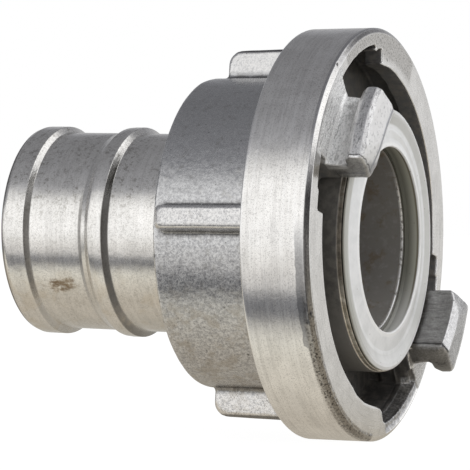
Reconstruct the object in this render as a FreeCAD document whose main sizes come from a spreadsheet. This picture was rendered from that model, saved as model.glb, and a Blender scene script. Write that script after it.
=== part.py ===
import FreeCAD, Part
import math
import os
import Sketcher
from FreeCAD import Vector as V, Placement, Rotation

# Symmetrical two-claw hose coupling, claw spacing 66 mm, for 52 mm hose.
# Frame: X is the coupling axis and points out of the mating face. The origin is on the
# axis in the plane of the rim's machined front face. Z is up.
# Angles are measured about X from +Y towards +Z.

os.makedirs("parts", exist_ok=True)
doc = FreeCAD.newDocument("claw_coupling")

# ---------------------------------------------------------------- dimensions
SIZES = [
    # rim and bell of the head
    ("rim_radius", 49.0), ("rim_back", 16.3), ("rim_back_chamfer", 0.9),
    ("rim_front_chamfer_len", 0.87), ("face_radius", 47.85),
    ("lip_radius", 39.6), ("lip_thick", 4.6), ("groove_radius", 45.0), ("floor_depth", 12.05),
    ("flange_bore_radius", 28.05), ("flange_back", 17.0), ("skirt_radius", 33.6),
    ("bell_radius", 37.6), ("bell_back", 42.6), ("bell_edge", 0.8),
    # ribs
    ("rib_back", 40.6), ("rib_top_back", 44.5), ("rib_top_front", 44.95), ("rib_width", 4.5), ("rib_corner", 3.4),
    ("rib_root", 36.4), ("rib_first_angle", -5.0),
    # claws
    ("claw_inner", 33.0), ("claw_stem", 39.0), ("claw_outer", 44.1), ("claw_under", 4.7),
    ("claw_shoulder", 8.95), ("claw_front", 10.2), ("claw_lead_angle", 126.3), ("claw_trail_angle", 157.2),
    ("stop_angle", 166.5),
    # entry window and recess in the lip
    ("window_outer", 45.0), ("window_angle", 94.0), ("lead_in_angle", 74.0), ("lead_in_radius", 41.2),
    ("recess_radius", 43.2), ("recess_wide_radius", 44.2), ("recess_angle", 172.3),
    # hose tail
    ("tube_radius", 24.4), ("bore_radius", 21.77), ("tail_end", 88.6), ("tail_end_radius", 24.95),
    ("bead_radius", 25.85), ("bead_one_flat_end", 82.35), ("bead_one_foot", 81.1),
    ("bead_two_start", 66.8), ("bead_two_flat_start", 64.6), ("bead_two_flat_end", 61.25), ("bead_two_foot", 60.0),
    ("neck_radius", 28.0), ("neck_back", 22.0), ("neck_foot", 25.5),
    ("ring_groove_front", 17.2), ("ring_groove_back", 19.4), ("ring_groove_radius", 26.6),
    ("collar_radius", 32.8), ("collar_back", 11.8), ("collar_front", 1.35), ("collar_chamfer", 0.65),
    ("pocket_radius", 31.5), ("pocket_floor", 2.05), ("pocket_undercut_radius", 31.95), ("pocket_undercut_front", 0.55),
    # locking ring
    ("ring_front", 17.25), ("ring_back", 19.35), ("ring_inner", 26.65), ("ring_outer", 30.2), ("ring_gap", 7.0),
    # seal
    ("seal_outer", 31.45), ("seal_foot_radius", 31.9), ("seal_bore", 21.75), ("seal_crest", 1.95), ("seal_valley", 1.2),
    ("seal_lip", 2.45), ("seal_valley_radius", 27.4), ("seal_back_radius", 23.2),
]
sheet = doc.addObject("Spreadsheet::Sheet", "Sizes")
for row, (alias, value) in enumerate(SIZES, start=1):
    sheet.set("A%d" % row, alias)
    sheet.set("B%d" % row, str(value))
    sheet.setAlias("B%d" % row, alias)
doc.recompute()


def size(alias):
    return float(getattr(sheet, alias))


def cell(expr):
    """Turn an expression of plain aliases into one the document understands."""
    out, word = "", ""
    for ch in expr + " ":
        if ch.isalnum() or ch == "_":
            word += ch
        else:
            if word and not word[0].isdigit():
                word = "Sizes." + word
            out += word + ch
            word = ""
    return out.strip()


def plane(body, role):
    return [f for f in body.Origin.OriginFeatures if f.Role == role][0]


def new_body(name, label):
    body = doc.addObject("PartDesign::Body", name)
    body.Label = label
    return body


def sketch_on(body, name, role, offset=None):
    sk = body.newObject("Sketcher::SketchObject", name)
    sk.AttachmentSupport = [(plane(body, role), "")]
    sk.MapMode = "FlatFace"
    if offset is not None:
        sk.AttachmentOffset = offset
    return sk


def polygon(sk, points):
    """Closed outline. Each point is (x expression, y expression); every coordinate becomes a driving dimension."""
    env = {alias: size(alias) for alias, _ in SIZES}
    xy = [(value_of(px, env), value_of(py, env)) for px, py in points]
    n = len(points)
    for i in range(n):
        a, b = xy[i], xy[(i + 1) % n]
        sk.addGeometry(Part.LineSegment(V(a[0], a[1], 0), V(b[0], b[1], 0)), False)
    for i in range(n):
        sk.addConstraint(Sketcher.Constraint("Coincident", i, 2, (i + 1) % n, 1))
    for i in range(n):
        for axis, expr, val in (("DistanceX", points[i][0], xy[i][0]), ("DistanceY", points[i][1], xy[i][1])):
            c = sk.addConstraint(Sketcher.Constraint(axis, -1, 1, i, 1, val))
            sk.setExpression("Constraints[%d]" % c, cell(expr))
    return xy


def value_of(expr, env):
    """Value of a plain sum of terms, each a number, an alias, or a number times an alias."""
    total = 0.0
    for term in expr.replace(" ", "").replace("-", "+-").split("+"):
        if term:
            sign, term = (-1.0, term[1:]) if term[0] == "-" else (1.0, term)
            product = 1.0
            for factor in term.split("*"):
                product *= env[factor] if factor in env else float(factor)
            total += sign * product
    return total


def revolve(body, name, sk, angle=360.0):
    rev = body.newObject("PartDesign::Revolution", name)
    rev.Profile = sk
    rev.ReferenceAxis = (sk, ["H_Axis"])
    rev.Angle = angle
    rev.Reversed = False
    sk.Visibility = False
    return rev


def check(obj):
    bad = [s for s in obj.State if s in ("Invalid", "Error")]
    if bad:
        raise RuntimeError("%s failed: %s" % (obj.Name, bad))


def volume(body):
    doc.recompute()
    return body.Shape.Volume


def polar(body, name, originals, count):
    pat = body.newObject("PartDesign::PolarPattern", name)
    pat.Originals = originals
    pat.Axis = (plane(body, "X_Axis"), [""])
    pat.Angle = 360.0
    pat.Occurrences = count
    body.Tip = pat
    return pat


# ---------------------------------------------------------------- hose tail
tail = new_body("hose_tail", "hose_tail")
sk = sketch_on(tail, "tail_profile", "XY_Plane")
polygon(sk, [
    ("-tail_end + 0.5", "bore_radius"),
    ("-tail_end", "bore_radius + 0.5"),
    ("-tail_end", "tail_end_radius - 0.15"),
    ("-tail_end + 0.25", "tail_end_radius + 0.35"),
    ("-tail_end + 0.75", "bead_radius - 0.2"),
    ("-tail_end + 1.5", "bead_radius"),
    ("-bead_one_flat_end - 0.25", "bead_radius"),
    ("-bead_one_flat_end + 0.15", "bead_radius - 0.12"),
    ("-bead_one_foot", "tube_radius"),
    ("-bead_two_start", "tube_radius"),
    ("-bead_two_flat_start - 1.25", "bead_radius - 1.05"),
    ("-bead_two_flat_start - 0.55", "bead_radius - 0.3"),
    ("-bead_two_flat_start + 0.25", "bead_radius"),
    ("-bead_two_flat_end - 0.3", "bead_radius"),
    ("-bead_two_flat_end + 0.15", "bead_radius - 0.15"),
    ("-bead_two_foot", "tube_radius"),
    ("-neck_foot", "tube_radius"),
    ("-neck_back", "neck_radius"),
    ("-ring_groove_back", "neck_radius"),
    ("-ring_groove_back", "ring_groove_radius"),
    ("-ring_groove_front", "ring_groove_radius"),
    ("-ring_groove_front", "neck_radius"),
    ("-collar_back", "neck_radius"),
    ("-collar_back", "collar_radius - 0.4"),
    ("-collar_back + 0.4", "collar_radius"),
    ("collar_front - collar_chamfer", "collar_radius"),
    ("collar_front", "collar_radius - collar_chamfer"),
    ("collar_front", "pocket_radius"),
    ("-pocket_undercut_front", "pocket_radius"),
    ("-pocket_undercut_front - 0.3", "pocket_undercut_radius"),
    ("-pocket_floor", "pocket_undercut_radius"),
    ("-pocket_floor", "bore_radius + 0.45"),
    ("-pocket_floor - 0.35", "bore_radius"),
])
revolve(tail, "tail_turning", sk)
doc.recompute()

# ---------------------------------------------------------------- locking ring (split)
ring = new_body("locking_ring", "locking_ring")
sk = sketch_on(ring, "ring_profile", "XY_Plane")
polygon(sk, [
    ("-ring_back", "ring_inner"), ("-ring_front", "ring_inner"),
    ("-ring_front", "ring_outer - 0.3"), ("-ring_front - 0.3", "ring_outer"),
    ("-ring_back + 0.3", "ring_outer"), ("-ring_back", "ring_outer - 0.3"),
])
revolve(ring, "ring_turning", sk)
full = volume(ring)
sk = sketch_on(ring, "ring_split", "XZ_Plane")
polygon(sk, [
    ("-ring_back - 1", "ring_inner - 2"), ("-ring_front + 1", "ring_inner - 2"),
    ("-ring_front + 1", "ring_outer + 2"), ("-ring_back - 1", "ring_outer + 2"),
])
cut = ring.newObject("PartDesign::Pocket", "ring_gap_cut")
cut.Profile = sk
cut.Type = "Length"
cut.Midplane = True
cut.setExpression("Length", "Sizes.ring_gap")
sk.Visibility = False
if not volume(ring) < full - 20:
    raise RuntimeError("ring split removed nothing")

# ---------------------------------------------------------------- seal ring
seal = new_body("seal_ring", "seal_ring")
sk = sketch_on(seal, "seal_profile", "XY_Plane")
polygon(sk, [
    ("-pocket_floor", "seal_back_radius"),
    ("-pocket_floor + 0.9", "seal_back_radius"),
    ("0.3", "seal_bore + 0.75"),
    ("1.3", "seal_bore + 0.25"),
    ("seal_lip - 0.35", "seal_bore"),
    ("seal_lip - 0.08", "seal_bore + 0.15"),
    ("seal_lip", "seal_bore + 0.5"),
    ("seal_valley + 0.12", "seal_valley_radius - 0.6"),
    ("seal_valley", "seal_valley_radius"),
    ("seal_valley + 0.08", "seal_valley_radius + 0.7"),
    ("seal_crest - 0.03", "seal_outer - 1.0"),
    ("seal_crest", "seal_outer - 0.7"),
    ("seal_crest - 0.2", "seal_outer - 0.25"),
    ("seal_crest - 0.7", "seal_outer"),
    ("-pocket_undercut_front", "seal_outer"),
    ("-pocket_undercut_front - 0.3", "seal_foot_radius"),
    ("-pocket_floor", "seal_foot_radius"),
])
revolve(seal, "seal_moulding", sk)
doc.recompute()

# ---------------------------------------------------------------- head
head = new_body("coupling_head", "coupling_head")
sk = sketch_on(head, "head_profile", "XY_Plane")
polygon(sk, [
    ("-bell_back", "skirt_radius + 0.4"),
    ("-bell_back", "bell_radius - bell_edge"),
    ("-bell_back + 0.3*bell_edge", "bell_radius - 0.3*bell_edge"),
    ("-bell_back + bell_edge", "bell_radius"),
    ("-rim_back - 1.2", "bell_radius"),
    ("-rim_back - 0.35", "bell_radius + 0.35"),
    ("-rim_back", "bell_radius + 1.2"),
    ("-rim_back", "rim_radius - rim_back_chamfer"),
    ("-rim_back + rim_back_chamfer", "rim_radius"),
    ("-rim_front_chamfer_len", "rim_radius"),
    ("0", "face_radius"),
    ("0", "lip_radius"),
    ("-lip_thick", "lip_radius"),
    ("-lip_thick", "groove_radius"),
    ("-floor_depth", "groove_radius"),
    ("-floor_depth", "flange_bore_radius"),
    ("-flange_back", "flange_bore_radius"),
    ("-flange_back", "skirt_radius - 0.8"),
    ("-flange_back - 0.8", "skirt_radius"),
    ("-bell_back + 0.4", "skirt_radius"),
])
revolve(head, "head_turning", sk)
v0 = volume(head)

# ribs: one pad on a plane through the axis, then four around
sk = sketch_on(head, "rib_profile", "XZ_Plane")
sk.AttachmentOffset = Placement(V(0, 0, 0), Rotation(V(1, 0, 0), size("rib_first_angle")))
polygon(sk, [
    ("-rib_back", "rib_root"),
    ("-rim_back + 1", "rib_root"),
    ("-rim_back + 1", "rib_top_front"),
    ("-rib_back + rib_corner", "rib_top_back"),
    ("-rib_back + 0.4*rib_corner", "rib_top_back - 0.14*rib_corner"),
    ("-rib_back + 0.12*rib_corner", "rib_top_back - 0.42*rib_corner"),
    ("-rib_back", "rib_top_back - rib_corner"),
])
rib = head.newObject("PartDesign::Pad", "rib")
rib.Profile = sk
rib.Type = "Length"
rib.Midplane = True
rib.setExpression("Length", "Sizes.rib_width")
sk.Visibility = False
doc.recompute()
polar(head, "ribs", [rib], 4)
v1 = volume(head)
if not v1 > v0 + 1000:
    raise RuntimeError("ribs added nothing")


def turned(angle):
    """Sketch placement on a plane through the axis at an angle from +Y."""
    return Placement(V(0, 0, 0), Rotation(V(1, 0, 0), angle))


# root block that joins each claw to the floor and the rim wall, and stops the mating claw
sk = sketch_on(head, "root_profile", "XY_Plane", turned(size("claw_lead_angle")))
polygon(sk, [
    ("-floor_depth - 0.5", "claw_inner"), ("-lip_thick + 0.2", "claw_inner"),
    ("-lip_thick + 0.2", "groove_radius + 0.5"), ("-floor_depth - 0.5", "groove_radius + 0.5"),
])
root = revolve(head, "claw_root", sk)
root.setExpression("Angle", "Sizes.stop_angle - Sizes.claw_lead_angle")
doc.recompute()
v2 = volume(head)

# the claw itself: stem with an outward hook
sk = sketch_on(head, "claw_profile", "XY_Plane", turned(size("claw_lead_angle")))
polygon(sk, [
    ("-lip_thick", "claw_inner"),
    ("claw_shoulder - 0.4", "claw_inner"),
    ("claw_shoulder + 0.2", "claw_inner + 0.35"),
    ("claw_front - 0.15", "claw_inner + 1.7"),
    ("claw_front", "claw_inner + 2.6"),
    ("claw_front - 0.06", "claw_inner + 3.6"),
    ("claw_front - 0.62", "claw_outer - 1.1"),
    ("claw_front - 0.85", "claw_outer - 0.5"),
    ("claw_front - 1.35", "claw_outer"),
    ("claw_under + 1.5", "claw_outer"),
    ("claw_under + 0.55", "claw_outer - 0.75"),
    ("claw_under + 0.1", "claw_outer - 1.8"),
    ("claw_under", "claw_stem + 0.6"),
    ("claw_under - 0.5", "claw_stem"),
    ("0.5", "claw_stem"),
    ("0", "claw_stem + 0.6"),
    ("0", "groove_radius + 0.5"),
    ("-lip_thick", "groove_radius + 0.5"),
])
claw = revolve(head, "claw", sk)
claw.setExpression("Angle", "Sizes.claw_trail_angle - Sizes.claw_lead_angle")
doc.recompute()
v3 = volume(head)
if not (v2 > v1 + 500 and v3 > v2 + 500):
    raise RuntimeError("claw added nothing")
polar(head, "claws", [root, claw], 2)
v4 = volume(head)
if not v4 > v3 + 1000:
    raise RuntimeError("claw pattern added nothing")


def true_arcs(sk, corners):
    """Closed outline of (radius, angle, kind) corners: 'arc' joins to the next corner about the axis, 'line' straight."""
    geo = []
    n = len(corners)
    for i in range(n):
        r0, a0, kind = corners[i]
        r1, a1, _ = corners[(i + 1) % n]
        p0 = V(r0 * math.cos(math.radians(a0)), r0 * math.sin(math.radians(a0)), 0)
        p1 = V(r1 * math.cos(math.radians(a1)), r1 * math.sin(math.radians(a1)), 0)
        if kind == "arc":
            lo, hi = (a0, a1) if a1 > a0 else (a1, a0)
            circle = Part.Circle(V(0, 0, 0), V(0, 0, 1), r0)
            sk.addGeometry(Part.ArcOfCircle(circle, math.radians(lo), math.radians(hi)), False)
            geo.append((1, 2) if a1 > a0 else (2, 1))
        else:
            sk.addGeometry(Part.LineSegment(p0, p1), False)
            geo.append((1, 2))
    for i in range(n):
        j = (i + 1) % n
        sk.addConstraint(Sketcher.Constraint("Coincident", i, geo[i][1], j, geo[j][0]))


# entry window, with the lip's lead-in, cut through the lip
sk = sketch_on(head, "window_outline", "YZ_Plane")
true_arcs(sk, [
    (size("window_outer"), size("claw_lead_angle"), "arc"),
    (size("window_outer"), size("window_angle") + 1.4, "line"),
    (size("window_outer") - 0.6, size("window_angle") + 0.2, "line"),
    (size("lead_in_radius"), size("window_angle") - 1.2, "line"),
    (size("lip_radius") + 0.95, size("window_angle") - 5.0, "line"),
    (size("lip_radius") + 0.35, size("lead_in_angle") + 8, "line"),
    (size("lip_radius") + 0.02, size("lead_in_angle"), "line"),
    (size("lip_radius") - 1.6, size("lead_in_angle"), "arc"),
    (size("lip_radius") - 1.6, size("claw_lead_angle"), "line"),
])
win = head.newObject("PartDesign::Pocket", "window")
win.Profile = sk
win.Type = "Length"
win.Midplane = False
win.Reversed = False
win.setExpression("Length", "Sizes.lip_thick + 0.2")
sk.Visibility = False
before = head.Shape.Volume
after = volume(head)
if not after < before - 100:
    win.Reversed = True
    after = volume(head)
if not after < before - 100:
    raise RuntimeError("window cut nothing")

# recess beside the claw's trailing end
sk = sketch_on(head, "recess_outline", "YZ_Plane")
true_arcs(sk, [
    (size("recess_radius"), size("recess_angle"), "arc"),
    (size("recess_radius"), size("stop_angle"), "line"),
    (size("recess_wide_radius"), size("stop_angle") - 0.6, "arc"),
    (size("recess_wide_radius"), size("claw_trail_angle"), "line"),
    (size("lip_radius") - 1.6, size("claw_trail_angle"), "arc"),
    (size("lip_radius") - 1.6, size("recess_angle") + 0.9, "line"),
    (size("lip_radius") + 0.6, size("recess_angle") + 0.9, "line"),
    (size("lip_radius") + 1.4, size("recess_angle") + 0.2, "line"),
])
rec = head.newObject("PartDesign::Pocket", "recess")
rec.Profile = sk
rec.Type = "Length"
rec.Reversed = win.Reversed
rec.setExpression("Length", "Sizes.lip_thick")
sk.Visibility = False
before = after
after = volume(head)
if not after < before - 20:
    raise RuntimeError("recess cut nothing")

# bevel of the claw's leading outer corner, seen along the axis
sk = sketch_on(head, "lead_bevel_outline", "YZ_Plane", Placement(V(0, 0, 0.6), Rotation()))
true_arcs(sk, [
    (37.0, size("claw_lead_angle") - 0.05, "line"),
    (39.6, 127.3, "line"),
    (42.6, 129.1, "line"),
    (44.0, 130.4, "line"),
    (46.5, 133.4, "line"),
    (50.0, 128.0, "line"),
    (48.0, 122.0, "line"),
])
bev = head.newObject("PartDesign::Pocket", "lead_bevel")
bev.Profile = sk
bev.Type = "Length"
bev.Reversed = not win.Reversed
bev.Length = 12.0
sk.Visibility = False
before = after
after = volume(head)
if not after < before - 5:
    raise RuntimeError("lead bevel cut nothing")
polar(head, "windows", [win, rec, bev], 2)
before = after
after = volume(head)
if not after < before - 100:
    raise RuntimeError("window pattern cut nothing")

# bevel across the front edge of the claw's trailing end
sk = sketch_on(head, "trail_bevel_outline", "XZ_Plane")
true = [(7.6, 12.6), (9.0, 15.6), (9.55, 17.6), (12.0, 22.0), (12.5, 11.0)]
for i in range(len(true)):
    a, b = true[i], true[(i + 1) % len(true)]
    sk.addGeometry(Part.LineSegment(V(a[0], a[1], 0), V(b[0], b[1], 0)), False)
for i in range(len(true)):
    sk.addConstraint(Sketcher.Constraint("Coincident", i, 2, (i + 1) % len(true), 1))
tb = head.newObject("PartDesign::Pocket", "trail_bevel")
tb.Profile = sk
tb.Type = "Length"
tb.Length = 48.0
sk.Visibility = False
before = after
after = volume(head)
if not after < before - 5:
    tb.Reversed = True
    after = volume(head)
if not after < before - 5:
    raise RuntimeError("trail bevel cut nothing")
polar(head, "trail_bevels", [tb], 2)
before = after
after = volume(head)

# ---------------------------------------------------------------- check and write
NODES = [(head, "coupling_head"), (tail, "hose_tail"), (ring, "locking_ring"), (seal, "seal_ring")]
doc.recompute()
for obj in doc.Objects:
    check(obj)
for body, name in NODES:
    body.Placement = Placement(V(0, 0, 0), Rotation())
doc.recompute()
for body, name in NODES:
    shape = body.Shape
    if shape.isNull() or not shape.isValid() or len(shape.Solids) != 1:
        raise RuntimeError("%s: null %s valid %s solids %d" % (name, shape.isNull(), shape.isValid(), len(shape.Solids)))
    box = shape.BoundBox
    print("%-14s volume %9.1f  box X %.2f..%.2f Y %.2f..%.2f Z %.2f..%.2f" % (
        name, shape.Volume, box.XMin, box.XMax, box.YMin, box.YMax, box.ZMin, box.ZMax))
    shape.exportStep("parts/%s.step" % name)
print("written", len(NODES))
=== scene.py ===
import math

import bpy
import numpy as np
from mathutils import Matrix, Vector


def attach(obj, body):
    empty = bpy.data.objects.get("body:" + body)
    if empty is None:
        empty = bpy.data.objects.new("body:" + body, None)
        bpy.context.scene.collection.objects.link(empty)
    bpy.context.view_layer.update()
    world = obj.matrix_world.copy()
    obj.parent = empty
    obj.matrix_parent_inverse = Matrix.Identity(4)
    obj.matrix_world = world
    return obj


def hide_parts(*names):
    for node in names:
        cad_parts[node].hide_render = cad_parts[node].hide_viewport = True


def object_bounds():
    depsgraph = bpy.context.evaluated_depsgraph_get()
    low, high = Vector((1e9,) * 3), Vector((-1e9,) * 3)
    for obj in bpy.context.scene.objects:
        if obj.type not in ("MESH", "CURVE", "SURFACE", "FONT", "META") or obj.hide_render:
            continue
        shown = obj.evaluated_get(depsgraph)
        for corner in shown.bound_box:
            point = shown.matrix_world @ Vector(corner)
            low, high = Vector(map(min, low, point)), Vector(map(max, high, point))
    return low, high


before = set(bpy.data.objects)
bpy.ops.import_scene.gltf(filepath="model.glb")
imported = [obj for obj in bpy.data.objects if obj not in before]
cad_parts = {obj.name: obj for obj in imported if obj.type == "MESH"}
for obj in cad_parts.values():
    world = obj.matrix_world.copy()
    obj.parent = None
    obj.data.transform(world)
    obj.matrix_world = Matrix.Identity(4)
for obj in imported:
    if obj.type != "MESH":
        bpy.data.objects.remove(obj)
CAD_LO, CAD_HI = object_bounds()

# Everything below is laid out in millimetres in the part's frame and written to Blender in metres.
# X is the coupling axis; angles are measured about X from +Y towards +Z.
MM = 0.001
RIM_R = min(CAD_HI[1] - 0.0, -CAD_LO[1], CAD_HI[2], -CAD_LO[2]) / MM - 0.02
RIM_R = min(RIM_R, 49.0)
CLAW_X = min(10.2, CAD_HI[0] / MM) - 0.01
TAIL_X = max(-88.6, CAD_LO[0] / MM) + 0.01


# ------------------------------------------------------------------ small tools
def smin(a, b, k):
    h = np.maximum(k - np.abs(a - b), 0.0) / k
    return np.minimum(a, b) - h * h * k * 0.25


def smax(a, b, k):
    return -smin(-a, -b, k)


def step(lo, hi, v):
    t = np.clip((v - lo) / (hi - lo), 0.0, 1.0)
    return t * t * (3.0 - 2.0 * t)


def poly_sdf(px, py, pts):
    """Signed distance to a closed outline, negative inside."""
    d = None
    inside = None
    n = len(pts)
    for i in range(n):
        ax, ay = pts[i]
        bx, by = pts[(i + 1) % n]
        ex, ey = bx - ax, by - ay
        wx, wy = px - ax, py - ay
        t = np.clip((wx * ex + wy * ey) / (ex * ex + ey * ey), 0.0, 1.0)
        dx, dy = wx - ex * t, wy - ey * t
        dd = dx * dx + dy * dy
        cross = ex * wy - ey * wx
        flip = ((py >= ay) & (py < by) & (cross > 0)) | ((py < ay) & (py >= by) & (cross < 0))
        d = dd if d is None else np.minimum(d, dd)
        inside = flip if inside is None else inside ^ flip
    return np.where(inside, -np.sqrt(d), np.sqrt(d))


class Outline:
    """Signed distance to a closed outline, read from a fine table."""

    def __init__(self, pts, pitch=0.05, pad=3.0):
        a = np.array(pts)
        self.lo = a.min(0) - pad
        self.pitch = pitch
        self.nu, self.nv = (int(v) for v in np.ceil((a.max(0) + pad - self.lo) / pitch) + 2)
        u = self.lo[0] + np.arange(self.nu) * pitch
        v = self.lo[1] + np.arange(self.nv) * pitch
        self.table = np.concatenate([poly_sdf(u[i:i + 64, None] + 0 * v[None], v[None] + 0 * u[i:i + 64, None], pts) for i in range(0, self.nu, 64)]).ravel()

    def __call__(self, px, py):
        u = np.clip((px - self.lo[0]) / self.pitch, 0.0, self.nu - 1.001)
        v = np.clip((py - self.lo[1]) / self.pitch, 0.0, self.nv - 1.001)
        i, j = u.astype(np.int64), v.astype(np.int64)
        s, t = u - i, v - j
        k = i * self.nv + j
        a, b = self.table[k], self.table[k + 1]
        c, d = self.table[k + self.nv], self.table[k + self.nv + 1]
        a = a + (b - a) * t
        return a + (c + (d - c) * t - a) * s


def round_outline(pts, radii, seg=5):
    """An outline with each corner rounded by its own radius."""
    out = []
    n = len(pts)
    for i in range(n):
        p = np.array(pts[i], float)
        a = np.array(pts[i - 1], float) - p
        b = np.array(pts[(i + 1) % n], float) - p
        la, lb = np.linalg.norm(a), np.linalg.norm(b)
        r = radii[i] if not isinstance(radii, (int, float)) else radii
        if r <= 0:
            out.append(tuple(p))
            continue
        ua, ub = a / la, b / lb
        half = 0.5 * math.acos(max(-1.0, min(1.0, float(ua @ ub))))
        cut = min(r / math.tan(half), 0.49 * la, 0.49 * lb)
        r = cut * math.tan(half)
        mid = (ua + ub) / np.linalg.norm(ua + ub)
        c = p + mid * (r / math.sin(half))
        s, e = p + ua * cut, p + ub * cut
        a0 = math.atan2(s[1] - c[1], s[0] - c[0])
        a1 = math.atan2(e[1] - c[1], e[0] - c[0])
        while a1 - a0 > math.pi:
            a1 -= 2 * math.pi
        while a1 - a0 < -math.pi:
            a1 += 2 * math.pi
        for k in range(seg + 1):
            t = a0 + (a1 - a0) * k / seg
            out.append((c[0] + r * math.cos(t), c[1] + r * math.sin(t)))
    return out


def lattice(ix, iy, iz, seed):
    h = (ix.astype(np.int64) * 374761393 + iy.astype(np.int64) * 668265263 + iz.astype(np.int64) * 2147483647 + seed * 1274126177) & 0xFFFFFFFF
    h = ((h ^ (h >> 13)) * 1274126177) & 0xFFFFFFFF
    h = (h ^ (h >> 16)) & 0xFFFFFFFF
    return h.astype(np.float64) / 4294967295.0 * 2.0 - 1.0


def noise3(x, y, z, seed=0):
    """Smooth value noise, -1 to 1, one cell per unit."""
    fx, fy, fz = np.floor(x), np.floor(y), np.floor(z)
    ix, iy, iz = fx.astype(np.int64), fy.astype(np.int64), fz.astype(np.int64)
    tx, ty, tz = x - fx, y - fy, z - fz
    tx, ty, tz = tx * tx * (3 - 2 * tx), ty * ty * (3 - 2 * ty), tz * tz * (3 - 2 * tz)
    out = 0.0
    for a in (0, 1):
        wa = tx if a else 1 - tx
        for b in (0, 1):
            wb = ty if b else 1 - ty
            for c in (0, 1):
                wc = tz if c else 1 - tz
                out = out + wa * wb * wc * lattice(ix + a, iy + b, iz + c, seed)
    return out


def lines(lo, hi, marks, fine, grow, coarse):
    """Grid lines from lo to hi, close together near the marks."""
    out = [lo]
    v = lo
    while v < hi:
        near = min(abs(v - m) for m in marks)
        stepped = min(coarse, fine + grow * near)
        ahead = [m - v for m in marks if m > v]
        if ahead:
            nearest = min(ahead)
            stepped = min(stepped, max(fine, 0.6 * nearest))
        v += stepped
        out.append(min(v, hi))
    return np.array(sorted(set(out)))


# ------------------------------------------------------------------ head
LIP_R, GROOVE_R, FLOOR_X, LIP_T = 39.6, 45.0, -12.05, 4.6
BELL_R, SKIRT_R = 37.6, 33.6
RIBS = (175.0, 85.0, -5.0, -95.0)

HEAD = [
    (-42.6, SKIRT_R + 0.35), (-42.6, BELL_R), (-16.3, BELL_R), (-16.3, RIM_R), (-0.87, RIM_R), (0.0, 47.85),
    (0.0, LIP_R), (-LIP_T, LIP_R), (-LIP_T, GROOVE_R), (FLOOR_X, GROOVE_R), (FLOOR_X, 28.05), (-17.0, 28.05),
    (-17.0, SKIRT_R), (-42.3, SKIRT_R),
]
HEAD_ROUND = [0.12, 0.75, 1.3, 0.55, 0.16, 0.14, 0.22, 0.2, 0.35, 0.9, 0.35, 0.3, 0.9, 0.12]
HEAD_LINE = Outline(round_outline(HEAD, HEAD_ROUND, 4))

CLAW = [
    (-9.0, 33.0), (9.0, 33.0), (CLAW_X, 35.3), (CLAW_X - 0.62, 42.9), (8.75, 44.05), (6.35, 44.1), (4.7, 42.1),
    (4.7, 39.3), (0.35, 40.4), (-1.3, 41.5), (-1.3, 45.0), (-9.0, 45.0),
]
CLAW_ROUND = [0.0, 0.3, 0.4, 0.4, 0.45, 0.45, 0.4, 0.8, 0.5, 0.0, 0.0, 0.0]
CLAW_LINE = Outline(round_outline(CLAW, CLAW_ROUND, 4))

RIB_SIDE = [(-40.2, 34.6), (-40.2, 44.45), (-14.0, 45.0), (-14.0, 34.6)]
RIB_LINE = Outline(round_outline(RIB_SIDE, [0.0, 3.4, 0.0, 0.0], 6))

# entry windows seen along the axis: (radius, angle) outlines of what is cut from the lip
ARC = [(45.0, a) for a in (127.2, 124.0, 121.0, 118.0, 115.0, 112.0, 109.0, 106.0, 103.0, 100.0)]
WINDOW = [
    ARC + [
        (45.05, 97.2), (44.45, 96.3), (43.95, 97.6), (43.45, 95.8), (44.0, 93.7), (44.1, 91.1), (42.95, 90.7), (41.15, 90.65),
        (40.4, 92.1), (40.15, 87.3), (40.2, 82.1), (40.05, 75.9), (39.8, 72.5), (39.75, 67.5), (39.45, 62.0), (36.0, 62.0), (34.0, 90.0),
        (34.0, 105.0), (34.0, 127.2),
    ],
    ARC + [
        (45.0, 97.0), (45.0, 94.9), (44.5, 93.6), (43.9, 93.1), (42.2, 92.3), (41.1, 90.6), (40.75, 87.5), (40.5, 83.1), (40.45, 74.9), (40.2, 66.0),
        (39.4, 59.0), (36.0, 59.0), (34.0, 90.0), (34.0, 105.0), (34.0, 127.2),
    ],
]
RECESS = [
    (43.2, 171.9), (43.2, 169.0), (43.2, 166.6), (44.15, 165.9), (44.25, 163.0), (44.3, 160.0), (44.3, 157.4), (44.3, 156.0),
    (36.0, 156.0), (36.0, 165.0), (36.0, 172.9), (39.4, 172.9), (42.4, 172.7), (42.9, 172.5),
]
# small knocks and casting pits: x, radius, angle, size
DENTS = [
    (-0.42, 48.75, 127.3, 0.42), (0.12, 46.4, 92.4, 0.34), (0.15, 46.6, 101.6, 0.36), (0.14, 47.1, 99.8, 0.3), (0.1, 41.9, 86.0, 0.22),
    (-0.5, 48.7, 201.0, 0.4), (-0.3, 48.4, 228.0, 0.42), (0.16, 45.4, 250.0, 0.3), (9.5, 42.9, 153.0, 0.24), (9.7, 41.6, 155.4, 0.26),
    (0.1, 43.0, 12.0, 0.25), (-9.0, 49.2, 214.0, 0.36), (-14.2, 49.2, 188.0, 0.34), (-4.0, 49.25, 160.0, 0.36),
]


def ring_points(pts, turn):
    return [(r * math.cos(math.radians(a + turn)), r * math.sin(math.radians(a + turn))) for r, a in pts]


WINDOW_LINE = {turn: Outline(ring_points(WINDOW[turn > 90.0], turn), 0.06) for turn in (0.0, 180.0)}
RECESS_LINE = {turn: Outline(ring_points(RECESS, turn), 0.06) for turn in (0.0, 180.0)}


def in_range(deg, lo, hi):
    """1 between two angles, with soft ends of a degree."""
    mid = 0.5 * (lo + hi)
    half = 0.5 * (hi - lo)
    d = (deg - mid + 180.0) % 360.0 - 180.0
    return 1.0 - step(half - 0.6, half + 0.6, np.abs(d))


def near_side(deg):
    """The worn part of the chamfer: fades in below the axis and ends by the foot."""
    d = deg % 360.0
    return step(186.0, 212.0, d) * (1.0 - step(263.4, 264.6, d))


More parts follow.
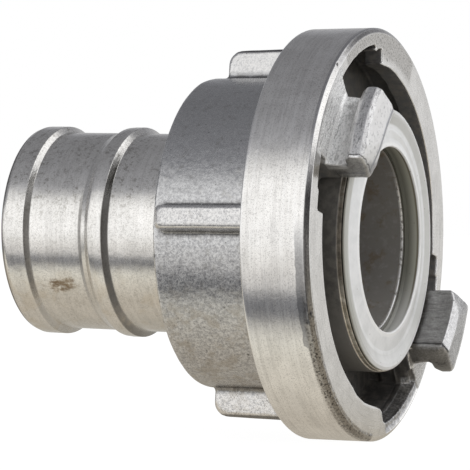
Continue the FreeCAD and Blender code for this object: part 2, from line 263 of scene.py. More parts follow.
def head_sdf(x, y, z, r=None, th=None):
    if r is None:
        r = np.sqrt(y * y + z * z)
        th = np.degrees(np.arctan2(z, y))
    f = HEAD_LINE(x, r)
    # four cast ribs on the bell, with draft and a soft root
    for ang in RIBS:
        c, s = math.cos(math.radians(ang)), math.sin(math.radians(ang))
        out = y * c + z * s
        side = -y * s + z * c
        prof = RIB_LINE(x, out)
        width = 2.62 + 0.05 * (44.6 - out)
        rib = smax(prof, np.abs(side) - width, 1.3)
        f = smin(f, rib, 1.0)
    # claws, entry windows and recesses, twice round
    for turn in (0.0, 180.0):
        d = (th - turn + 180.0) % 360.0 - 180.0          # angle in claw 1's own terms
        rad = lambda a: np.radians(a)
        lead = r * np.sin(rad(np.clip(126.3 - d, -90, 90)))
        trail = r * np.sin(rad(np.clip(d - 157.2, -90, 90)))
        far = np.where((d > 60.0) & (d < 215.0), 0.0, 40.0)
        # root block behind the lip
        stop = r * np.sin(rad(np.clip(d - 166.5, -90, 90)))
        root = smax(smax(np.maximum(FLOOR_X - 1.0 - x, x + LIP_T - 0.3), np.maximum(33.0 - r, r - 45.8), 0.5), np.maximum(lead, stop), 0.6)
        f = smin(f, root + far, 0.6)
        # the opening cut in the lip
        win = WINDOW_LINE[turn](y, z)
        cut = np.maximum(win, np.maximum(-x - LIP_T - 0.15, x - 2.0))
        f = smax(f, -cut, 0.35)
        rec = RECESS_LINE[turn](y, z)
        cut = np.maximum(rec, np.maximum(-x - LIP_T + 0.05, x - 2.0))
        f = smax(f, -cut, 0.3)
        # the claw
        claw = CLAW_LINE(x, r)
        if turn:
            # the second claw was dressed by hand: a degree lower, with a rounder leading end
            late = d + 1.2
            claw = smax(claw, r * np.sin(rad(np.clip(late - 157.2, -90, 90))), 0.9)
            claw = smax(claw, r * np.sin(rad(np.clip(126.3 - late, -90, 90))), np.where(x > 1.0, 2.4, 0.8))
        else:
            claw = smax(claw, smax(lead, trail, 0.4), 0.55)
        # leading outer corner: chamfer from R 37 to R 44
        a0, a1 = (math.radians(a + turn - (1.2 if turn else 0.0)) for a in (126.3, 130.5))
        p0 = (37.2 * math.cos(a0), 37.2 * math.sin(a0))
        p1 = (44.1 * math.cos(a1), 44.1 * math.sin(a1))
        ex, ez = p1[0] - p0[0], p1[1] - p0[1]
        ln = math.hypot(ex, ez)
        nx, nz = ez / ln, -ex / ln
        bev = (y - p0[0]) * nx + (z - p0[1]) * nz
        away = np.where(x > -0.2, 0.0, -5.0) + np.clip(x - 0.2, -0.4, 0.0)
        claw = smax(claw, bev + away, 1.5 if turn else 0.45)
        # front edge of the trailing end
        sgn = 1.0 if turn == 0.0 else -1.0
        zz = z * sgn
        nbx, nbz = 0.906, -0.423
        tb = (x - 7.6) * nbx + (zz - 12.6) * nbz
        nbx, nbz = 0.964, -0.265
        tb2 = (x - 9.0) * nbx + (zz - 15.6) * nbz
        claw = smax(claw, np.maximum(tb, tb2), 0.5)
        f = smin(f, claw + far, 0.9)
    for dx, dr, da, size in DENTS:
        cy, cz = dr * math.cos(math.radians(da)), dr * math.sin(math.radians(da))
        f = smax(f, size - np.sqrt((x - dx) ** 2 + (y - cy) ** 2 + (z - cz) ** 2), 0.12)
    return f


def relief(x, y, z):
    """Cast unevenness and casting marks, in millimetres, added to the distance."""
    r = np.sqrt(y * y + z * z)
    th = np.degrees(np.arctan2(z, y))
    rough = noise3(x / 1.5, y / 1.5, z / 1.5, 3) * 0.6 + noise3(x / 0.7, y / 0.7, z / 0.7, 5) * 0.4
    swell = noise3(x / 6.0, y / 6.0, z / 6.0, 9)
    bell = (1 - step(-17.2, -16.5, x)) * step(30.0, 36.0, r)
    claw = step(0.2, 0.8, x)
    inside = step(-12.0, -11.0, x) * (1 - step(43.5, 44.5, r)) * (1 - step(-4.4, -4.0, x))
    amount = 0.035 * bell + 0.05 * claw + 0.03 * inside
    out = amount * rough + (0.05 * bell + 0.07 * claw) * swell
    for turn, deep in ((0.0, 0.0), (180.0, 1.0)):
        d = (th - turn + 180.0) % 360.0 - 180.0
        # the outer edge of each window is ragged
        edge = in_range(d, 99.0 - 3.0 * deep, 126.0) * step(43.0, 44.2, r) * (1 - step(45.8, 46.6, r)) * step(-4.8, -3.5, x)
        rag = noise3(d / 1.3, r / 2.5, x / 2.5, 21) * 0.5 + noise3(d / 3.2, r / 4.0, x / 4.0, 22) * 0.5
        out = out + edge * (0.26 if deep else 0.07) * rag
        if deep:
            # beside window 2 the wall leans back and is broken away
            lean = in_range(d, 96.0, 126.8) * step(-4.2, -0.2, x) * step(48.2, 46.4, r) * step(42.5, 44.0, r)
            out = out + lean * (0.75 + 0.2 * rough)
        # the cast face under the hook
        under = in_range(d, 127.2, 156.4) * step(38.0, 39.5, r) * step(-1.5, -0.8, x) * (1 - step(0.4, 1.2, x))
        out = out + under * (1 - step(47.4, 47.9, r)) * 0.07 * (1.0 + rough)
        # rough slanted trailing end
        tail = in_range(d, 150.0, 166.0) * step(0.8, 1.6, x)
        out = out + tail * 0.05 * rough
    # the chamfer is broken and rough below the axis on the near side
    low = near_side(th) * step(46.9, 47.5, r) * step(-1.8, -1.1, x)
    out = out + low * (0.10 + 0.14 * noise3(th / 1.5, x / 0.7, r / 0.7, 33))
    return out


def head_field(x, y, z):
    return head_sdf(x, y, z) + relief(x, y, z)


def surface_nets(xs, rs, ts, field):
    """Quads over the zero level of a field sampled on cylinder coordinates; the angle wraps."""
    nx, nr, nt = len(xs), len(rs), len(ts)
    T = np.radians(ts)[None, None, :]
    R = rs[None, :, None]
    Y, Z = R * np.cos(T), R * np.sin(T)
    D = (ts[None, None, :] + 180.0) % 360.0 - 180.0
    F = np.empty((nx, nr, nt), np.float32)
    for i in range(0, nx, 8):
        F[i:i + 8] = field(xs[i:i + 8][:, None, None], Y, Z, R, D)
    S = F < 0
    Sn = np.concatenate([S, S[:, :, :1]], 2)
    Fn = np.concatenate([F, F[:, :, :1]], 2)
    tn = np.append(ts, ts[0] + 360.0)
    cnt = np.zeros((nx - 1, nr - 1, nt), np.int8)
    for a in (0, 1):
        for b in (0, 1):
            for c in (0, 1):
                cnt += Sn[a:nx - 1 + a, b:nr - 1 + b, c:nt + c]
    cells = np.argwhere((cnt > 0) & (cnt < 8))
    index = np.full((nx - 1, nr - 1, nt), -1, np.int64)
    index[cells[:, 0], cells[:, 1], cells[:, 2]] = np.arange(len(cells))
    acc = np.zeros((len(cells), 3))
    num = np.zeros(len(cells))
    i, j, k = cells[:, 0], cells[:, 1], cells[:, 2]
    corners = [(a, b, c) for a in (0, 1) for b in (0, 1) for c in (0, 1)]
    for p in range(8):
        for q in range(p + 1, 8):
            A, B = corners[p], corners[q]
            if sum(abs(u - v) for u, v in zip(A, B)) != 1:
                continue
            fa = Fn[i + A[0], j + A[1], k + A[2]].astype(float)
            fb = Fn[i + B[0], j + B[1], k + B[2]].astype(float)
            hit = (fa < 0) != (fb < 0)
            t = np.where(hit, fa / np.where(hit, fa - fb, 1.0), 0.0)
            pa = np.stack([xs[i + A[0]], rs[j + A[1]], tn[k + A[2]]], 1)
            pb = np.stack([xs[i + B[0]], rs[j + B[1]], tn[k + B[2]]], 1)
            pt = pa + (pb - pa) * t[:, None]
            acc += pt * hit[:, None]
            num += hit
    acc /= num[:, None]
    th = np.radians(acc[:, 2])
    verts = np.stack([acc[:, 0], acc[:, 1] * np.cos(th), acc[:, 1] * np.sin(th)], 1)
    quads = []
    # edges along x
    s0, s1 = S[:-1], S[1:]
    e = np.argwhere(s0 != s1)
    m = (e[:, 1] > 0) & (e[:, 1] < nr - 1)
    e = e[m]
    flip = s0[e[:, 0], e[:, 1], e[:, 2]]
    km = (e[:, 2] - 1) % nt
    q = np.stack([index[e[:, 0], e[:, 1] - 1, km], index[e[:, 0], e[:, 1], km], index[e[:, 0], e[:, 1], e[:, 2]], index[e[:, 0], e[:, 1] - 1, e[:, 2]]], 1)
    q[~flip] = q[~flip][:, ::-1]
    quads.append(q)
    # edges along r
    s0, s1 = S[:, :-1], S[:, 1:]
    e = np.argwhere(s0 != s1)
    m = (e[:, 0] > 0) & (e[:, 0] < nx - 1)
    e = e[m]
    flip = s0[e[:, 0], e[:, 1], e[:, 2]]
    km = (e[:, 2] - 1) % nt
    q = np.stack([index[e[:, 0] - 1, e[:, 1], km], index[e[:, 0] - 1, e[:, 1], e[:, 2]], index[e[:, 0], e[:, 1], e[:, 2]], index[e[:, 0], e[:, 1], km]], 1)
    q[~flip] = q[~flip][:, ::-1]
    quads.append(q)
    # edges along the angle
    s0, s1 = Sn[:, :, :-1], Sn[:, :, 1:]
    e = np.argwhere(s0 != s1)
    m = (e[:, 0] > 0) & (e[:, 0] < nx - 1) & (e[:, 1] > 0) & (e[:, 1] < nr - 1)
    e = e[m]
    flip = s0[e[:, 0], e[:, 1], e[:, 2]]
    q = np.stack([index[e[:, 0] - 1, e[:, 1] - 1, e[:, 2]], index[e[:, 0], e[:, 1] - 1, e[:, 2]], index[e[:, 0], e[:, 1], e[:, 2]], index[e[:, 0] - 1, e[:, 1], e[:, 2]]], 1)
    q[~flip] = q[~flip][:, ::-1]
    quads.append(q)
    return verts, np.concatenate(quads)


def gradient(field, p, h=0.03):
    g = np.empty_like(p)
    for a in range(3):
        d = np.zeros(3)
        d[a] = h
        g[:, a] = (field(*(p + d).T) - field(*(p - d).T)) / (2 * h)
    return g


def settle(p):
    """Moves the points onto the head's surface, and gives the surface's direction there."""
    for turn in range(4):
        f = head_sdf(*p.T)
        if turn < 3:
            g = gradient(head_sdf, p)
        else:
            f = f + relief(*p.T)
        n2 = np.maximum((g * g).sum(1), 0.2)
        move = -(f / n2)[:, None] * g
        length = np.linalg.norm(move, axis=1, keepdims=True)
        p = p + move * np.minimum(1.0, 0.25 / np.maximum(length, 1e-9))
    n = gradient(head_sdf, p, 0.06)
    base = relief(*p.T)
    for a in range(3):
        q = p.copy()
        q[:, a] += 0.1
        n[:, a] += (relief(*q.T) - base) / 0.1
    n /= np.maximum(np.linalg.norm(n, axis=1, keepdims=True), 1e-9)
    return p, n


def outward(quads, verts):
    """Flips the quads if the closed surface is inside out."""
    a, b, c, d = (verts[quads[:, i]] for i in range(4))
    vol = np.einsum("ij,ij->i", a, np.cross(b, c)).sum() + np.einsum("ij,ij->i", a, np.cross(c, d)).sum()
    return quads if vol > 0 else quads[:, ::-1]


def make_object(name, verts_mm, faces, normals=None, attrs=None):
    mesh = bpy.data.meshes.new(name)
    faces = np.asarray(faces)
    mesh.vertices.add(len(verts_mm))
    mesh.vertices.foreach_set("co", (np.asarray(verts_mm) * MM).astype(np.float32).ravel())
    mesh.loops.add(faces.size)
    mesh.loops.foreach_set("vertex_index", faces.astype(np.int32).ravel())
    mesh.polygons.add(len(faces))
    mesh.polygons.foreach_set("loop_start", np.arange(0, faces.size, faces.shape[1], dtype=np.int32))
    mesh.update(calc_edges=True)
    mesh.validate()
    mesh.polygons.foreach_set("use_smooth", np.ones(len(mesh.polygons), bool))
    for key, values in (attrs or {}).items():
        at = mesh.attributes.new(key, "FLOAT", "POINT")
        at.data.foreach_set("value", np.asarray(values, np.float32))
    if normals is not None:
        mesh.normals_split_custom_set_from_vertices([tuple(n) for n in normals])
    ob = bpy.data.objects.new(name, mesh)
    bpy.context.scene.collection.objects.link(ob)
    return ob


def build_head():
    xs = lines(-43.2, CLAW_X + 0.7, [-42.6, -16.3, -0.87, 0.0, -4.6, -12.05, -17.0, 4.7, 9.4, CLAW_X - 0.1], 0.24, 0.42, 1.7)
    rs = lines(27.4, RIM_R + 0.6, [28.05, 33.0, 33.6, 37.6, 39.3, 42.4, 44.3, 45.0, 47.85, RIM_R], 0.26, 0.45, 1.2)
    marks = []
    for turn in (0, 180):
        for a in (94.5, 97.5, 126.3, 130.0, 157.2, 166.5, 172.5):
            marks.append((a + turn) % 360.0)
    for a in RIBS:
        marks += [(a - 3.0) % 360.0, (a + 3.0) % 360.0]
    wrapped = marks + [m - 360 for m in marks] + [m + 360 for m in marks]
    ts = lines(0.0, 360.0, wrapped, 0.42, 0.16, 1.15)
    ts = ts[:-1]
    verts, quads = surface_nets(xs, rs, ts, head_sdf)
    verts, n = settle(verts)
    quads = outward(quads, verts)
    # how far each point lies on an outer edge or in an inner corner
    h = 0.45
    lap = -6.0 * head_sdf(*verts.T)
    for a in range(3):
        for s in (-h, h):
            q = verts.copy()
            q[:, a] += s
            lap = lap + head_sdf(*q.T)
    lap /= h * h
    edge = step(0.25, 1.6, lap)
    corner = step(0.15, 0.9, -lap)
    x, y, z = verts.T
    r = np.hypot(y, z)
    th = np.degrees(np.arctan2(z, y))
    cast = ((x < -16.6) & (r > 35.5)) | (x > 0.35)
    cast = cast.astype(float)
    inner = ((x < -0.35) & (r < 45.4) & (x > -16.0)).astype(float)
    cast = np.maximum(cast, inner * (np.abs(n[:, 0]) < 0.999) * 0.9)
    bore = ((r < 35.0) & (x < -12.3)).astype(float)
    low = np.zeros(len(x))
    dull_and_shaded = np.zeros(len(x))
    side = np.zeros(len(x))
    tangent = (n[:, 1] * -z + n[:, 2] * y) / np.maximum(r, 1e-6)
    for turn in (0.0, 180.0):
        d = (th - turn + 180.0) % 360.0 - 180.0
        under = in_range(d, 126.6, 156.9) * step(37.0, 38.5, r) * (1 - step(47.3, 47.75, r)) * (x > -1.2) * (x < 1.2)
        cast = np.maximum(cast, under)
        # end and inner faces of the claws: a rougher finish, and painted shade in the material
        dull_and_shaded = np.maximum(dull_and_shaded, step(0.45, 0.8, tangent) * in_range(d, 150.0, 170.0) * (x > -4.0) * (r < 45.5) * np.where((x > 1.5) & (turn == 0.0), 0.55, 1.0))
        dull_and_shaded = np.maximum(dull_and_shaded, step(0.45, 0.8, -tangent) * in_range(d, 120.0, 132.0) * (x > 0.2) * (1.0 if turn else 0.35))
        if turn:
            side = in_range(d, 95.0, 126.9) * step(43.0, 44.0, r) * (1 - step(46.6, 47.4, r)) * (x > -3.6) * (x < 1.0)
            cast = np.maximum(cast, side)
    radial = (n[:, 1] * y + n[:, 2] * z) / np.maximum(r, 1e-6)
    dull_and_shaded = np.maximum(dull_and_shaded, 0.5 * step(0.5, 0.8, -radial) * (x > 0.6))
    soft = np.zeros(len(x))
    for turn in (0.0, 180.0):
        d = (th - turn + 180.0) % 360.0 - 180.0
        soft = np.maximum(soft, in_range(d, 126.6, 157.2) * step(37.0, 38.5, r) * (1 - step(47.3, 47.75, r)) * (x > -1.2) * (1 - step(4.2, 5.0, x)) * step(-0.5, 0.0, radial + n[:, 0]))
        low = np.maximum(low, 0.55 * in_range(d, 62.0, 122.0) * step(41.0, 43.0, r) * (x > -0.6) * (0.0 if turn else 1.0))
    rib = step(38.7, 39.6, r) * (x < -16.6)
    worn_band = near_side(th) * step(46.9, 47.4, r) * (x > -1.6)
    low = np.maximum(low, worn_band)
    inner = inner * (1 - side)
    print("head grid", len(xs), len(rs), len(ts), "verts", len(verts), "quads", len(quads))
    return make_object("head_casting", verts, quads, n, {"cast": cast, "edge": edge, "corner": corner, "inner": np.maximum(inner, bore), "low": low, "dull_and_shaded": dull_and_shaded, "scar": side, "soft": soft, "rib": rib})



# ------------------------------------------------------------------ turned pieces
def lathe(name, outline, radii, seg=288, arc=None, wobble=None, support=0.06, cap=False):
    """A closed outline of (x, radius) turned about the axis, with rounded corners and lines that hold the shading."""
    pts = round_outline(outline, radii, 5)
    fine = []
    m = len(pts)
    for i in range(m):
        p, q = np.array(pts[i]), np.array(pts[(i + 1) % m])
        ln = float(np.linalg.norm(q - p))
        fine.append(tuple(p))
        if ln > 4 * support:
            u = (q - p) / ln
            fine.append(tuple(p + u * support))
            pieces = max(1, int(round(ln / 3.0)))
            for k in range(1, pieces):
                fine.append(tuple(p + u * (ln * k / pieces)))
            fine.append(tuple(q - u * support))
    prof = np.array(fine)
    m = len(prof)
    if arc is None:
        th = np.radians(np.arange(seg) * 360.0 / seg)
    else:
        th = np.radians(np.linspace(arc[0], arc[1], seg))
    X = np.repeat(prof[:, 0][:, None], len(th), 1)
    R = np.repeat(prof[:, 1][:, None], len(th), 1)
    T = np.repeat(th[None, :], m, 0)
    if wobble is not None:
        X, R = wobble(X, R, T)
    verts = np.stack([X, R * np.cos(T), R * np.sin(T) + sag(X)], 2).reshape(-1, 3)
    n = len(th)
    i = np.arange(m)
    j = np.arange(n if arc is None else n - 1)
    I, J = np.meshgrid(i, j, indexing="ij")
    I2, J2 = (I + 1) % m, (J + 1) % n
    faces = np.stack([I * n + J, I * n + J2, I2 * n + J2, I2 * n + J], 2).reshape(-1, 4)
    faces = outward(faces, verts)
    ob = make_object(name, verts, faces)
    if arc is not None:
        import bmesh
        bm = bmesh.new()
        bm.from_mesh(ob.data)
        bmesh.ops.holes_fill(bm, edges=[e for e in bm.edges if e.is_boundary], sides=0)
        bmesh.ops.recalc_face_normals(bm, faces=bm.faces)
        bm.to_mesh(ob.data)
        bm.free()
    return ob


TAIL = [
    (-88.1, 21.77), (TAIL_X, 22.25), (TAIL_X, 24.85), (-88.25, 25.4), (-87.1, 25.85),
    (-82.2, 25.87), (-81.35, 24.4), (-67.6, 24.4), (-66.2, 25.0), (-65.0, 25.75), (-63.6, 25.87), (-61.5, 25.87), (-60.35, 24.4),
    (-25.5, 24.4), (-22.0, 28.0), (-19.4, 28.0), (-19.4, 26.6), (-17.2, 26.6), (-17.2, 27.15), (-11.8, 27.15),
    (-11.8, 31.1), (-11.4, 31.5), (0.1, 31.5), (0.35, 31.3), (1.25, 31.25), (1.3, 30.85), (-0.55, 30.8), (-0.85, 31.1), (-2.05, 31.1),
    (-2.05, 22.0), (-2.28, 21.77),
]
TAIL_ROUND = [
    0.2, 0.3, 0.25, 0.5, 0.9,
    0.22, 0.3, 1.3, 1.6, 1.0, 1.2, 0.22, 0.3,
    1.2, 0.8, 0.15, 0.15, 0.15, 0.15, 0.3,
    0.2, 0.2, 0.15, 0.15, 0.1, 0.08, 0.1, 0.1, 0.1,
    0.15, 0.15,
]
SEAL = [
    (-2.05, 23.2), (-1.15, 23.15), (0.3, 22.6), (1.5, 22.15), (2.12, 21.95), (2.44, 22.2), (1.6, 26.4), (1.65, 27.6),
    (2.2, 29.3), (2.3, 30.2), (1.9, 31.0), (1.55, 31.05), (1.35, 30.68), (-0.55, 30.7), (-0.85, 31.05), (-2.05, 31.05),
]
SEAL_ROUND = [0.1, 0.6, 1.0, 0.6, 0.14, 0.2, 0.8, 1.2, 0.6, 0.35, 0.3, 0.15, 0.1, 0.1, 0.1, 0.1]
RING = [(-19.35, 26.65), (-17.25, 26.65), (-17.25, 30.2), (-19.35, 30.2)]


def sag(x):
    """The tail sits a little low in its loose joint: height change in mm at a place along the axis."""
    return -0.0175 * (x + 61.0)


def seal_wobble(X, R, T):
    front = step(0.0, 1.5, X)
    d = noise3(T * 9.0 / math.pi * 2, R / 4.0, X / 6.0 + 7.0, 41)
    return X + 0.035 * d * front, R + 0.03 * noise3(T * 5.0, R / 9.0, X / 5.0, 42) * step(0.4, 2.0, X)


def tail_wobble(X, R, T):
    # pressed beads are not quite even, and the tube carries a few shallow dents
    y, z = R * np.cos(T), R * np.sin(T)
    out = step(23.0, 24.0, R) * (1 - step(-30.0, -26.0, X))
    d = 0.03 * noise3(X / 5.0, y / 7.0, z / 7.0, 51) + 0.012 * noise3(X / 1.5, y / 2.0, z / 2.0, 52)
    return X, R + out * (d - 0.03)


head = build_head()
tail = lathe("tail_turned", TAIL, TAIL_ROUND, 324, wobble=tail_wobble)
seal = lathe("seal_moulding", SEAL, SEAL_ROUND, 288, wobble=seal_wobble)
ring = lathe("locking_snap_ring", RING, 0.25, 160, arc=(97.0, 443.0))

for ob, node, body, slot in (
    (head, "coupling_head", "head", "cast_aluminium"),
    (tail, "hose_tail", "tail", "turned_aluminium"),
    (seal, "seal_ring", "tail", "white_rubber"),
    (ring, "locking_ring", "tail", "spring_steel"),
):
    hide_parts(node)
    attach(ob, body)


# ------------------------------------------------------------------ node helpers
class Tree:
    def __init__(self, tree):
        self.t = tree
        self.t.nodes.clear()

    def node(self, kind, **settings):
        n = self.t.nodes.new(kind)
        for k, v in settings.items():
            setattr(n, k, v)
        return n

    def put(self, socket, value):
        if isinstance(value, bpy.types.NodeSocket):
            self.t.links.new(value, socket)
        else:
            socket.default_value = value

    def math(self, op, a, b=0.0, c=0.0, clamp=False):
        n = self.node("ShaderNodeMath", operation=op, use_clamp=clamp)
        self.put(n.inputs[0], a)
        self.put(n.inputs[1], b)
        self.put(n.inputs[2], c)
        return n.outputs[0]

    def mix(self, fac, a, b, blend="MIX"):
        n = self.node("ShaderNodeMix", data_type="RGBA", blend_type=blend, clamp_factor=True)
        self.put(n.inputs[0], fac)
        self.put(n.inputs[6], a if isinstance(a, bpy.types.NodeSocket) else (*a, 1.0))
        self.put(n.inputs[7], b if isinstance(b, bpy.types.NodeSocket) else (*b, 1.0))
        return n.outputs[2]

    def mixf(self, fac, a, b):
        n = self.node("ShaderNodeMix", data_type="FLOAT", clamp_factor=True)
        self.put(n.inputs[0], fac)
        self.put(n.inputs[2], a)
        self.put(n.inputs[3], b)
        return n.outputs[0]

    def smooth(self, v, lo, hi):
        n = self.node("ShaderNodeMapRange", interpolation_type="SMOOTHSTEP", clamp=True)
        self.put(n.inputs["Value"], v)
        self.put(n.inputs["From Min"], lo)
        self.put(n.inputs["From Max"], hi)
        return n.outputs[0]

    def rescale(self, v, lo, hi, a, b):
        n = self.node("ShaderNodeMapRange", interpolation_type="LINEAR", clamp=True)
        self.put(n.inputs["Value"], v)
        self.put(n.inputs["From Min"], lo)
        self.put(n.inputs["From Max"], hi)
        self.put(n.inputs["To Min"], a)
        self.put(n.inputs["To Max"], b)
        return n.outputs[0]

    def vec(self, x, y, z):
        n = self.node("ShaderNodeCombineXYZ")
        for i, v in enumerate((x, y, z)):
            self.put(n.inputs[i], v)
        return n.outputs[0]

    def noise(self, vector, scale, detail=2.0, rough=0.5, w=None, distortion=0.0):
        n = self.node("ShaderNodeTexNoise", noise_dimensions="4D" if w is not None else "3D")
        self.put(n.inputs["Vector"], vector)
        if w is not None:
            self.put(n.inputs["W"], w)
        self.put(n.inputs["Scale"], scale)
        self.put(n.inputs["Detail"], detail)
        self.put(n.inputs["Roughness"], rough)
        self.put(n.inputs["Distortion"], distortion)
        return n.outputs[0]

    def cells(self, vector, scale, randomness=1.0, feature="F1"):
        n = self.node("ShaderNodeTexVoronoi", feature=feature)
        self.put(n.inputs["Vector"], vector)
        self.put(n.inputs["Scale"], scale)
        self.put(n.inputs["Randomness"], randomness)
        return n.outputs["Distance"]

    def attr(self, name):
        n = self.node("ShaderNodeAttribute", attribute_type="GEOMETRY", attribute_name=name)
        return n.outputs["Fac"]

    def bump(self, height, strength, distance, normal=None):
        n = self.node("ShaderNodeBump")
        self.put(n.inputs["Strength"], strength)
        self.put(n.inputs["Distance"], distance)
        self.put(n.inputs["Height"], height)
        if normal is not None:
            self.put(n.inputs["Normal"], normal)
        return n.outputs[0]

    def place(self, sagging=False):
        """Object position in mm: vector, x, y, z, radius. The tail's pieces use their own lowered axis."""
        co = self.node("ShaderNodeTexCoord").outputs["Object"]
        v = self.node("ShaderNodeVectorMath", operation="SCALE")
        self.put(v.inputs[0], co)
        v.inputs["Scale"].default_value = 1000.0
        sep = self.node("ShaderNodeSeparateXYZ")
        self.put(sep.inputs[0], v.outputs[0])
        x, y, z = sep.outputs
        if sagging:
            z = self.math("ADD", z, self.math("MULTIPLY", self.math("ADD", x, 61.0), 0.0175))
        r = self.math("SQRT", self.math("ADD", self.math("MULTIPLY", y, y), self.math("MULTIPLY", z, z)))
        return v.outputs[0], x, y, z, r


def metal(name):
    m = bpy.data.materials.new(name)
    m.use_nodes = True
    t = Tree(m.node_tree)
    out = t.node("ShaderNodeOutputMaterial")
    b = t.node("ShaderNodeBsdfPrincipled")
    t.put(out.inputs["Surface"], b.outputs[0])
    b.inputs["Metallic"].default_value = 1.0
    return m, t, b


def turning(t, x, y, z, r, across, along, detail=3.0):
    """Fine rings about the axis: quick change along x and radius, slow change round it."""
    v = t.vec(t.math("MULTIPLY", x, across), t.math("MULTIPLY", y, along), t.math("MULTIPLY", z, along))
    return t.noise(v, 1.0, detail, 0.6, w=t.math("MULTIPLY", r, across))


def head_material():
    m, t, b = metal("blasted_cast_aluminium")
    P, x, y, z, r = t.place()
    cast, edge, corner, inner, low, dull_and_shaded, scar, soft, rib = (t.attr(n) for n in ("cast", "edge", "corner", "inner", "low", "dull_and_shaded", "scar", "soft", "rib"))
    bell = t.math("MULTIPLY", t.smooth(x, -16.0, -17.0), t.smooth(r, 35.0, 36.0))
    claw = t.smooth(x, 0.5, 1.0)
    # masks
    ringm = turning(t, x, y, z, r, 2.6, 0.12, 3.0)
    ringf = turning(t, x, y, z, r, 5.5, 0.30, 2.0)
    ringw = turning(t, x, y, z, r, 1.25, 0.05, 3.0)
    grain = t.noise(P, 2.3, 3.0, 0.7)
    mottle = t.noise(P, 1.15, 4.0, 0.72)
    speck = t.noise(P, 3.6, 1.0, 0.5)
    fine = t.noise(P, 6.0, 2.0, 0.6)
    blotch = t.noise(P, 0.16, 4.0, 0.6)
    patch = t.noise(P, 0.5, 3.0, 0.6)
    pits = t.smooth(t.cells(P, 0.8), 0.20, 0.08)
    pits = t.math("MULTIPLY", pits, t.smooth(t.noise(P, 0.3, 2.0, 0.5), 0.50, 0.62))
    pits = t.math("MULTIPLY", pits, t.math("SUBTRACT", 1.0, claw))
    # turned surfaces
    base = t.mix(t.smooth(blotch, 0.36, 0.68), (0.86, 0.845, 0.82), (0.97, 0.955, 0.93))
    base = t.mix(t.math("MULTIPLY", t.smooth(ringm, 0.52, 0.72), 0.45), base, (0.60, 0.59, 0.575))
    base = t.mix(t.math("MULTIPLY", t.smooth(ringf, 0.55, 0.72), 0.40), base, (0.95, 0.94, 0.93))
    base = t.mix(t.math("MULTIPLY", t.smooth(speck, 0.52, 0.68), 0.55), base, (0.48, 0.47, 0.46))
    smudge = t.math("MULTIPLY", t.smooth(t.noise(P, 0.9, 5.0, 0.78), 0.50, 0.62), t.smooth(blotch, 0.58, 0.44))
    base = t.mix(t.math("MULTIPLY", smudge, 0.20), base, (0.44, 0.43, 0.415))
    drum = t.rescale(r, 47.6, 48.6, 0.25, 1.0)
    base = t.mix(t.math("MULTIPLY", t.smooth(ringw, 0.50, 0.64), t.math("MULTIPLY", drum, 0.24)), base, (0.55, 0.54, 0.53))
    base = t.mix(t.math("MULTIPLY", t.smooth(ringw, 0.48, 0.38), t.math("MULTIPLY", drum, 0.35)), base, (0.98, 0.97, 0.96))
    # blasted casting
    calm = t.math("MULTIPLY", bell, t.smooth(z, 2.0, 22.0))
    calm = t.math("MAXIMUM", t.math("MULTIPLY", calm, 0.75), t.math("MULTIPLY", claw, 0.5))
    castc = t.mix(t.smooth(t.mixf(0.62, grain, mottle), 0.36, 0.64), (0.38, 0.38, 0.39), (0.74, 0.74, 0.74))
    castc = t.mix(calm, castc, (0.57, 0.57, 0.575))
    castc = t.mix(t.math("MULTIPLY", t.smooth(fine, 0.58, 0.70), 0.35), castc, (0.95, 0.945, 0.94))
    stain = t.math("MULTIPLY", t.smooth(t.noise(P, 0.24, 4.0, 0.68), 0.46, 0.62), t.math("MULTIPLY", bell, t.smooth(z, -5.0, -24.0)))
    castc = t.mix(t.math("MULTIPLY", stain, 0.55), castc, (0.43, 0.39, 0.335))
    castc = t.mix(t.math("MULTIPLY", t.smooth(patch, 0.56, 0.72), 0.45), castc, (0.34, 0.33, 0.31))
    # the rib tops are paler, with painted light making the lower rib lighter still, where less lamp light reaches
    castc = t.mix(t.math("MULTIPLY", t.math("MULTIPLY", rib, t.rescale(z, -36.0, -12.0, 1.25, 0.80)), t.rescale(grain, 0.36, 0.60, 0.10, 0.74)), castc, (0.93, 0.91, 0.885))
    # painted shade beside the ribs' roots, and a dark line along the bell's back edge
    beside = t.math("MINIMUM", t.math("ABSOLUTE", t.math("ADD", t.math("MULTIPLY", y, 0.0872), t.math("MULTIPLY", z, 0.9962))),
                    t.math("ABSOLUTE", t.math("SUBTRACT", t.math("MULTIPLY", y, 0.9962), t.math("MULTIPLY", z, 0.0872))))
    rib_shade = t.math("MULTIPLY", bell, t.math("MULTIPLY", t.smooth(beside, 4.9, 3.1), t.smooth(x, -41.8, -40.6)))
    rib_shade = t.math("MULTIPLY", rib_shade, t.math("SUBTRACT", 1.0, rib))
    castc = t.mix(t.math("MULTIPLY", rib_shade, t.rescale(mottle, 0.35, 0.6, 0.38, 0.12)), castc, (0.20, 0.195, 0.19))
    castc = t.mix(t.math("MULTIPLY", bell, t.math("MULTIPLY", t.smooth(x, -42.0, -42.28), 0.8)), castc, (0.12, 0.12, 0.125))
    flaw = t.math("MULTIPLY", t.smooth(t.cells(P, 0.30), 0.16, 0.07), t.smooth(t.noise(P, 0.22, 2.0, 0.5), 0.50, 0.60))
    flaw = t.math("MULTIPLY", flaw, t.math("MULTIPLY", bell, t.smooth(z, -2.0, -14.0)))
    castc = t.mix(t.math("MULTIPLY", flaw, 0.8), castc, (0.07, 0.065, 0.055))
    col = t.mix(cast, base, castc)
